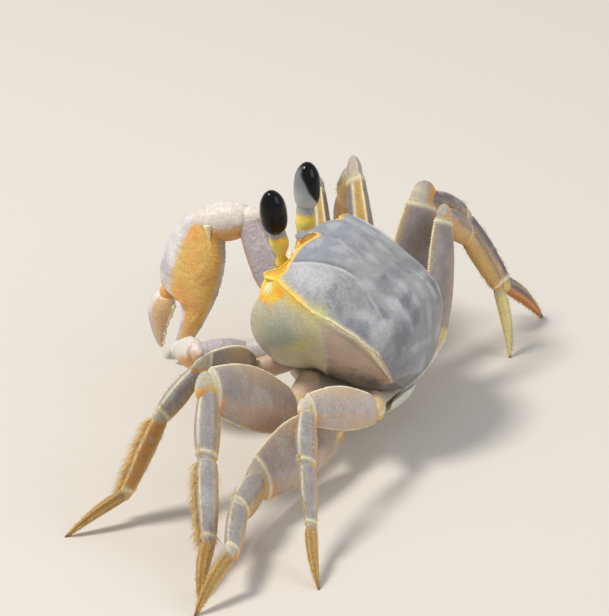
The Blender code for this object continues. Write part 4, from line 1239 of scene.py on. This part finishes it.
def hand_grid(claw, wrist, tip):
    """Palm and fixed finger: a grid, its places along and around, and its directions."""
    along = unit(tip - wrist)
    across = unit(np.cross(along, claw["finger_side"]))
    up = np.cross(across, along)
    palm = claw["palm_share"]
    # share of the length, upper edge, lower edge, thickness
    table = ((-0.06, 0.05, -0.05, 0.10), (-0.04, 0.22, -0.20, 0.40), (0.0, 0.42, -0.38, 0.64),
             (0.07, 0.68, -0.60, 0.82), (0.18, 0.92, -0.84, 0.97), (0.32, 1.0, -0.97, 1.0),
             (0.45, 0.98, -1.0, 0.95), (palm, 0.80, -0.98, 0.84), (palm + 0.03, 0.0, -0.96, 0.66),
             (0.68, -0.22, -0.90, 0.54), (0.80, -0.28, -0.78, 0.42), (0.91, -0.28, -0.62, 0.28),
             (0.97, -0.26, -0.50, 0.18), (1.0, -0.30, -0.40, 0.06))
    share = spaced((-0.06, 0.03, 14), (0.03, palm - 0.02, 70), (palm - 0.02, palm + 0.05, 22),
                   (palm + 0.05, 1.0, 50))[:, None]
    top, bottom, thick = smooth_table(table, share)
    turn = circle(72)[None]
    quarter = 0.25 * claw["height"]
    rise = quarter * (top + bottom) + quarter * (top - bottom) * np.cos(turn)
    aside = 0.5 * claw["thickness"] * thick * squared(np.sin(turn), 0.9)
    centres = wrist + along * (np.linalg.norm(tip - wrist) * share)
    return sweep(centres, up, rise, across, aside), share, turn, along, up, across


def claw_colours(points, share, turn, inner_sign, finger=False):
    """Whitish outer face and upper margin, smooth tan inner face, greyer fingers with pale tips."""
    below_margin = ramp(-np.cos(turn) + 0.1 * noise(points, 2.0, 35), -0.42, -0.16)
    inner = ramp(inner_sign * np.sin(turn), -0.05, 0.25) * below_margin
    tan = mix(CLAW_TAN, JOINT_YELLOW, 0.3 + 0.6 * noise(points, 3.4, 33))
    hinge = 0.0 if finger else 0.8 * bump(share - 0.545, 0.02)
    return coats(
        CLAW_WHITE,
        (CLAW_GREY, 0.30 + 0.6 * noise(points, 2.6, 31)),
        (tan, inner * (0.75 if finger else 1.0)),
        (JOINT_ORANGE, hinge * ramp(np.cos(turn), 0.3, 0.8)),
        (CLAW_GREY, 0.75 * ramp(share, 0.62, 0.85) * (1.0 - 0.75 * inner)),
        (CRISP_CREAM, 0.6 * ramp(share, 0.93, 1.0)))


def build_claw_arm(side, claw, joints):
    """The three parts between the shell and the hand, dark above and tan below."""
    for i, kind in enumerate(("base", "merus", "carpus")):
        plane = -unit(np.cross(joints[i + 1] - joints[i], (0.0, 0.0, 1.0)))
        depth = claw["depths"][i]
        part = LimbPart(kind, joints[i], joints[i + 1], depth, depth * CLAW_ARM_FLATNESS, plane)
        colour, grain = part_colours(part, 5, side)
        drop = part.centre[:, None, 2] - part.points[..., 2]
        below = ramp(drop + 0.8 * noise(part.points, 3.0, 39), -0.5, 2.0)
        end = ramp(part.share, 0.86, 0.97)[:, None]
        colour = coats(
            colour,
            (CLAW_WHITE if kind == "carpus" else CLAW_GREY, 0.80 * (1.0 - below)),
            (CLAW_TAN, 0.90 * below),
            (JOINT_ORANGE, 0.75 * end * ramp(below, 0.0, 0.5)))
        warts = np.maximum(0.0, noise(part.points, 0.9, 41) - 0.25)
        points = raise_surface(part.points, part.height + 0.28 * warts * (kind != "base"))
        skin(f"{side}_claw_{kind}", points, colour, grain, CLAW)


def build_claw(side):
    """A claw: its arm, palm with the fixed finger, moving finger, hinge, spine and teeth."""
    claw = CLAWS[side]
    joints = [np.array(point) + STAND_SHIFT for point in claw["joints"]]
    build_claw_arm(side, claw, joints)

    # palm and fixed finger
    wrist, tip = joints[3], np.array(claw["tip"]) + STAND_SHIFT
    tall, thick = claw["height"], claw["thickness"]
    points, share, turn, along, up, across = hand_grid(claw, wrist, tip)
    outer_sign = SIDES[side] * math.copysign(1.0, across[0])
    colour = claw_colours(points, share, turn, -outer_sign)
    warts = np.maximum(0.0, noise(points, 0.85, 43) - 0.15) * ramp(-share, -0.9, -0.6)
    edge = bump(np.abs(np.cos(turn)) - 1.0, 0.12) * ramp(-share, -0.62, -0.5)
    ribs = 0.20 * edge * (0.5 + 0.5 * np.sin(TAU * share * PALM_RIBS))
    shaped = raise_surface(points, 0.30 * warts + ribs)
    skin(f"{side}_claw_palm", shaped, colour, 0.7, CLAW)

    # moving finger
    length = np.linalg.norm(tip - wrist)
    half = 0.5 * tall
    hinge = wrist + along * length * (claw["palm_share"] + 0.085) + up * half * 0.52
    finger_tip = wrist + along * length * 0.995 + up * half * 0.16
    heading = unit(finger_tip - hinge)
    reach = float(np.linalg.norm(finger_tip - hinge))
    place = np.linspace(-0.05, 1.0, 70)
    (girth,) = smooth_table(FINGER_SHAPE, place)
    centre = (hinge + heading * (reach * place)[:, None]
              + up * (0.13 * reach * np.sin(math.pi * np.clip(place, 0.0, 1.0)))[:, None])
    turns = circle(48)
    finger = sweep(centre, up, 0.20 * tall * girth[:, None] * np.cos(turns),
                   across, 0.28 * thick * girth[:, None] * np.sin(turns))
    places = place[:, None]
    colour = claw_colours(finger, 0.45 + 0.55 * places, turns[None], -outer_sign, finger=True)
    warts = np.maximum(0.0, noise(finger, 0.8, 47) - 0.2) * ramp(-places, -0.8, -0.3)
    furrow = -0.16 * bump(math.pi - np.abs(turns - math.pi) - 1.2, 0.16) * ramp(places, 0.1, 0.3)
    shaped = raise_surface(finger, 0.22 * warts + furrow)
    skin(f"{side}_claw_finger", shaped, colour, 0.5, CLAW)

    # orange membrane in the finger's hinge, and the spine on the inner corner of the wrist
    membrane = tube(hinge + heading * np.linspace(-2.6, 1.4, 9)[:, None],
                    0.115 * tall * np.sin(np.linspace(0.35, 2.9, 9)) ** 0.6)
    tone = mix(JOINT_ORANGE, CLAW_TAN, 0.6 + 0.4 * noise(membrane, 1.2, 49))
    spine_way = unit(0.75 * along - 0.45 * up)
    spine_foot = wrist - outer_sign * across * 0.34 * thick - up * 0.12 * tall - 0.6 * along
    spine = tube(spine_foot + spine_way * (0.23 * tall * np.linspace(0.0, 1.0, 8))[:, None],
                 0.062 * tall * np.linspace(1.0, 0.06, 8))
    grids_piece(f"{side}_claw_hinge", [(membrane, tone, 0.3), (spine, CRISP_CREAM, 0.2)], CLAW)

    # teeth along both biting edges
    centres, radii = [], []
    for k, bite in enumerate(np.linspace(0.14, 0.90, 13)):
        spot = int(np.argmin(np.abs(place - bite)))
        row = int(np.argmin(np.abs(share[:, 0] - blend(claw["palm_share"] + 0.06, 0.96, bite))))
        centres += [centre[spot] - up * 0.20 * tall * girth[spot], points[row, 0]]
        radii += [tall * (0.030 if k % 3 else 0.042) * (1.1 - 0.5 * bite)] * 2
    beads(f"{side}_claw_teeth", centres, radii, CRISP_CREAM, CLAW, sides=8, bands=6)


# ---------------------------------------------------------------- the crab

def build_crab():
    """Every piece of the crab; the legs share one row of random draws."""
    draws = np.random.default_rng(11)
    build_carapace()
    build_underside()
    build_mouth()
    build_feelers()
    build_eyes()
    for side in SIDES:
        build_claw(side)
        for number in LEG_SIZES:
            build_leg(side, number, draws)


# ---------------------------------------------------------------- stage

VIEW_RIGHT = unit((0.469, -0.882, -0.052))
VIEW_BACK = unit(np.cross(VIEW_RIGHT, (0.409, 0.164, 0.898)))       # from the crab towards the camera
VIEW_UP = np.cross(VIEW_BACK, VIEW_RIGHT)
VIEW_DISTANCE = 2500.0
FRAME_HEIGHT = 136.9          # height of the view at the body
VIEW_OFFSET = (-14.44, -3.18)     # middle of the view from the body's origin, right and up
# lamps: how far left, up and towards the camera from the body, size, power and colour
LAMPS = {"key": ((420.0, 640.0, 330.0), 240.0, 5.6, (1.0, 0.96, 0.90)),
         "fill": ((-600.0, 260.0, 420.0), 500.0, 1.4, (0.92, 0.95, 1.0))}
SKY_COLOUR = (0.92, 0.95, 1.0, 1.0)
SKY_STRENGTH = 0.55
PAPER_COLOUR = (0.66, 0.62, 0.56, 1.0)
PAPER_ROUGHNESS = 0.9
FLOOR_REACH = 6.0             # metres to each side


def link(name, data):
    """A new object in the scene."""
    made = bpy.data.objects.new(name, data)
    bpy.context.scene.collection.objects.link(made)
    return made


def add_floor():
    reach = FLOOR_REACH
    mesh = bpy.data.meshes.new("floor")
    corners = [(-reach, -reach, 0), (reach, -reach, 0), (reach, reach, 0), (-reach, reach, 0)]
    mesh.from_pydata(corners, [], [(0, 1, 2, 3)])
    floor = link("floor", mesh)
    paper = bpy.data.materials.new("floor paper")
    paper.use_nodes = True
    shader = paper.node_tree.nodes["Principled BSDF"]
    shader.inputs["Base Color"].default_value = PAPER_COLOUR
    shader.inputs["Roughness"].default_value = PAPER_ROUGHNESS
    mesh.materials.append(paper)


def add_lights():
    world = bpy.data.worlds.new("studio")
    bpy.context.scene.world = world
    world.use_nodes = True
    sky = world.node_tree.nodes["Background"].inputs
    sky["Color"].default_value = SKY_COLOUR
    sky["Strength"].default_value = SKY_STRENGTH
    for name, ((left, up, near), size, power, colour) in LAMPS.items():
        light = bpy.data.lights.new(name, "AREA")
        light.shape = "DISK"
        light.size = size * MM
        light.energy = power
        light.color = colour
        lamp = link(name, light)
        lamp.location = Vector(BODY_AT - left * VIEW_RIGHT + up * VIEW_UP + near * VIEW_BACK) * MM
        to_body = Vector(BODY_AT) * MM - lamp.location
        lamp.rotation_euler = to_body.to_track_quat("-Z", "Y").to_euler()


def add_camera():
    camera = bpy.data.cameras.new("camera")
    camera.sensor_width = 36.0
    camera.lens = camera.sensor_width * VIEW_DISTANCE / FRAME_HEIGHT
    camera.clip_start = 0.1
    camera.clip_end = 20.0
    eye = link("camera", camera)
    aside, rise = VIEW_OFFSET
    place = BODY_AT + VIEW_RIGHT * aside + VIEW_UP * rise + VIEW_BACK * VIEW_DISTANCE
    pose = Matrix(joined(VIEW_RIGHT, VIEW_UP, VIEW_BACK).tolist()).to_4x4()
    pose.translation = Vector(place * MM)
    eye.matrix_world = pose
    bpy.context.scene.camera = eye
    bpy.context.scene.view_settings.view_transform = "Standard"


def build_stage():
    add_floor()
    add_lights()
    add_camera()


build_crab()
build_stage()
bpy.context.view_layer.update()
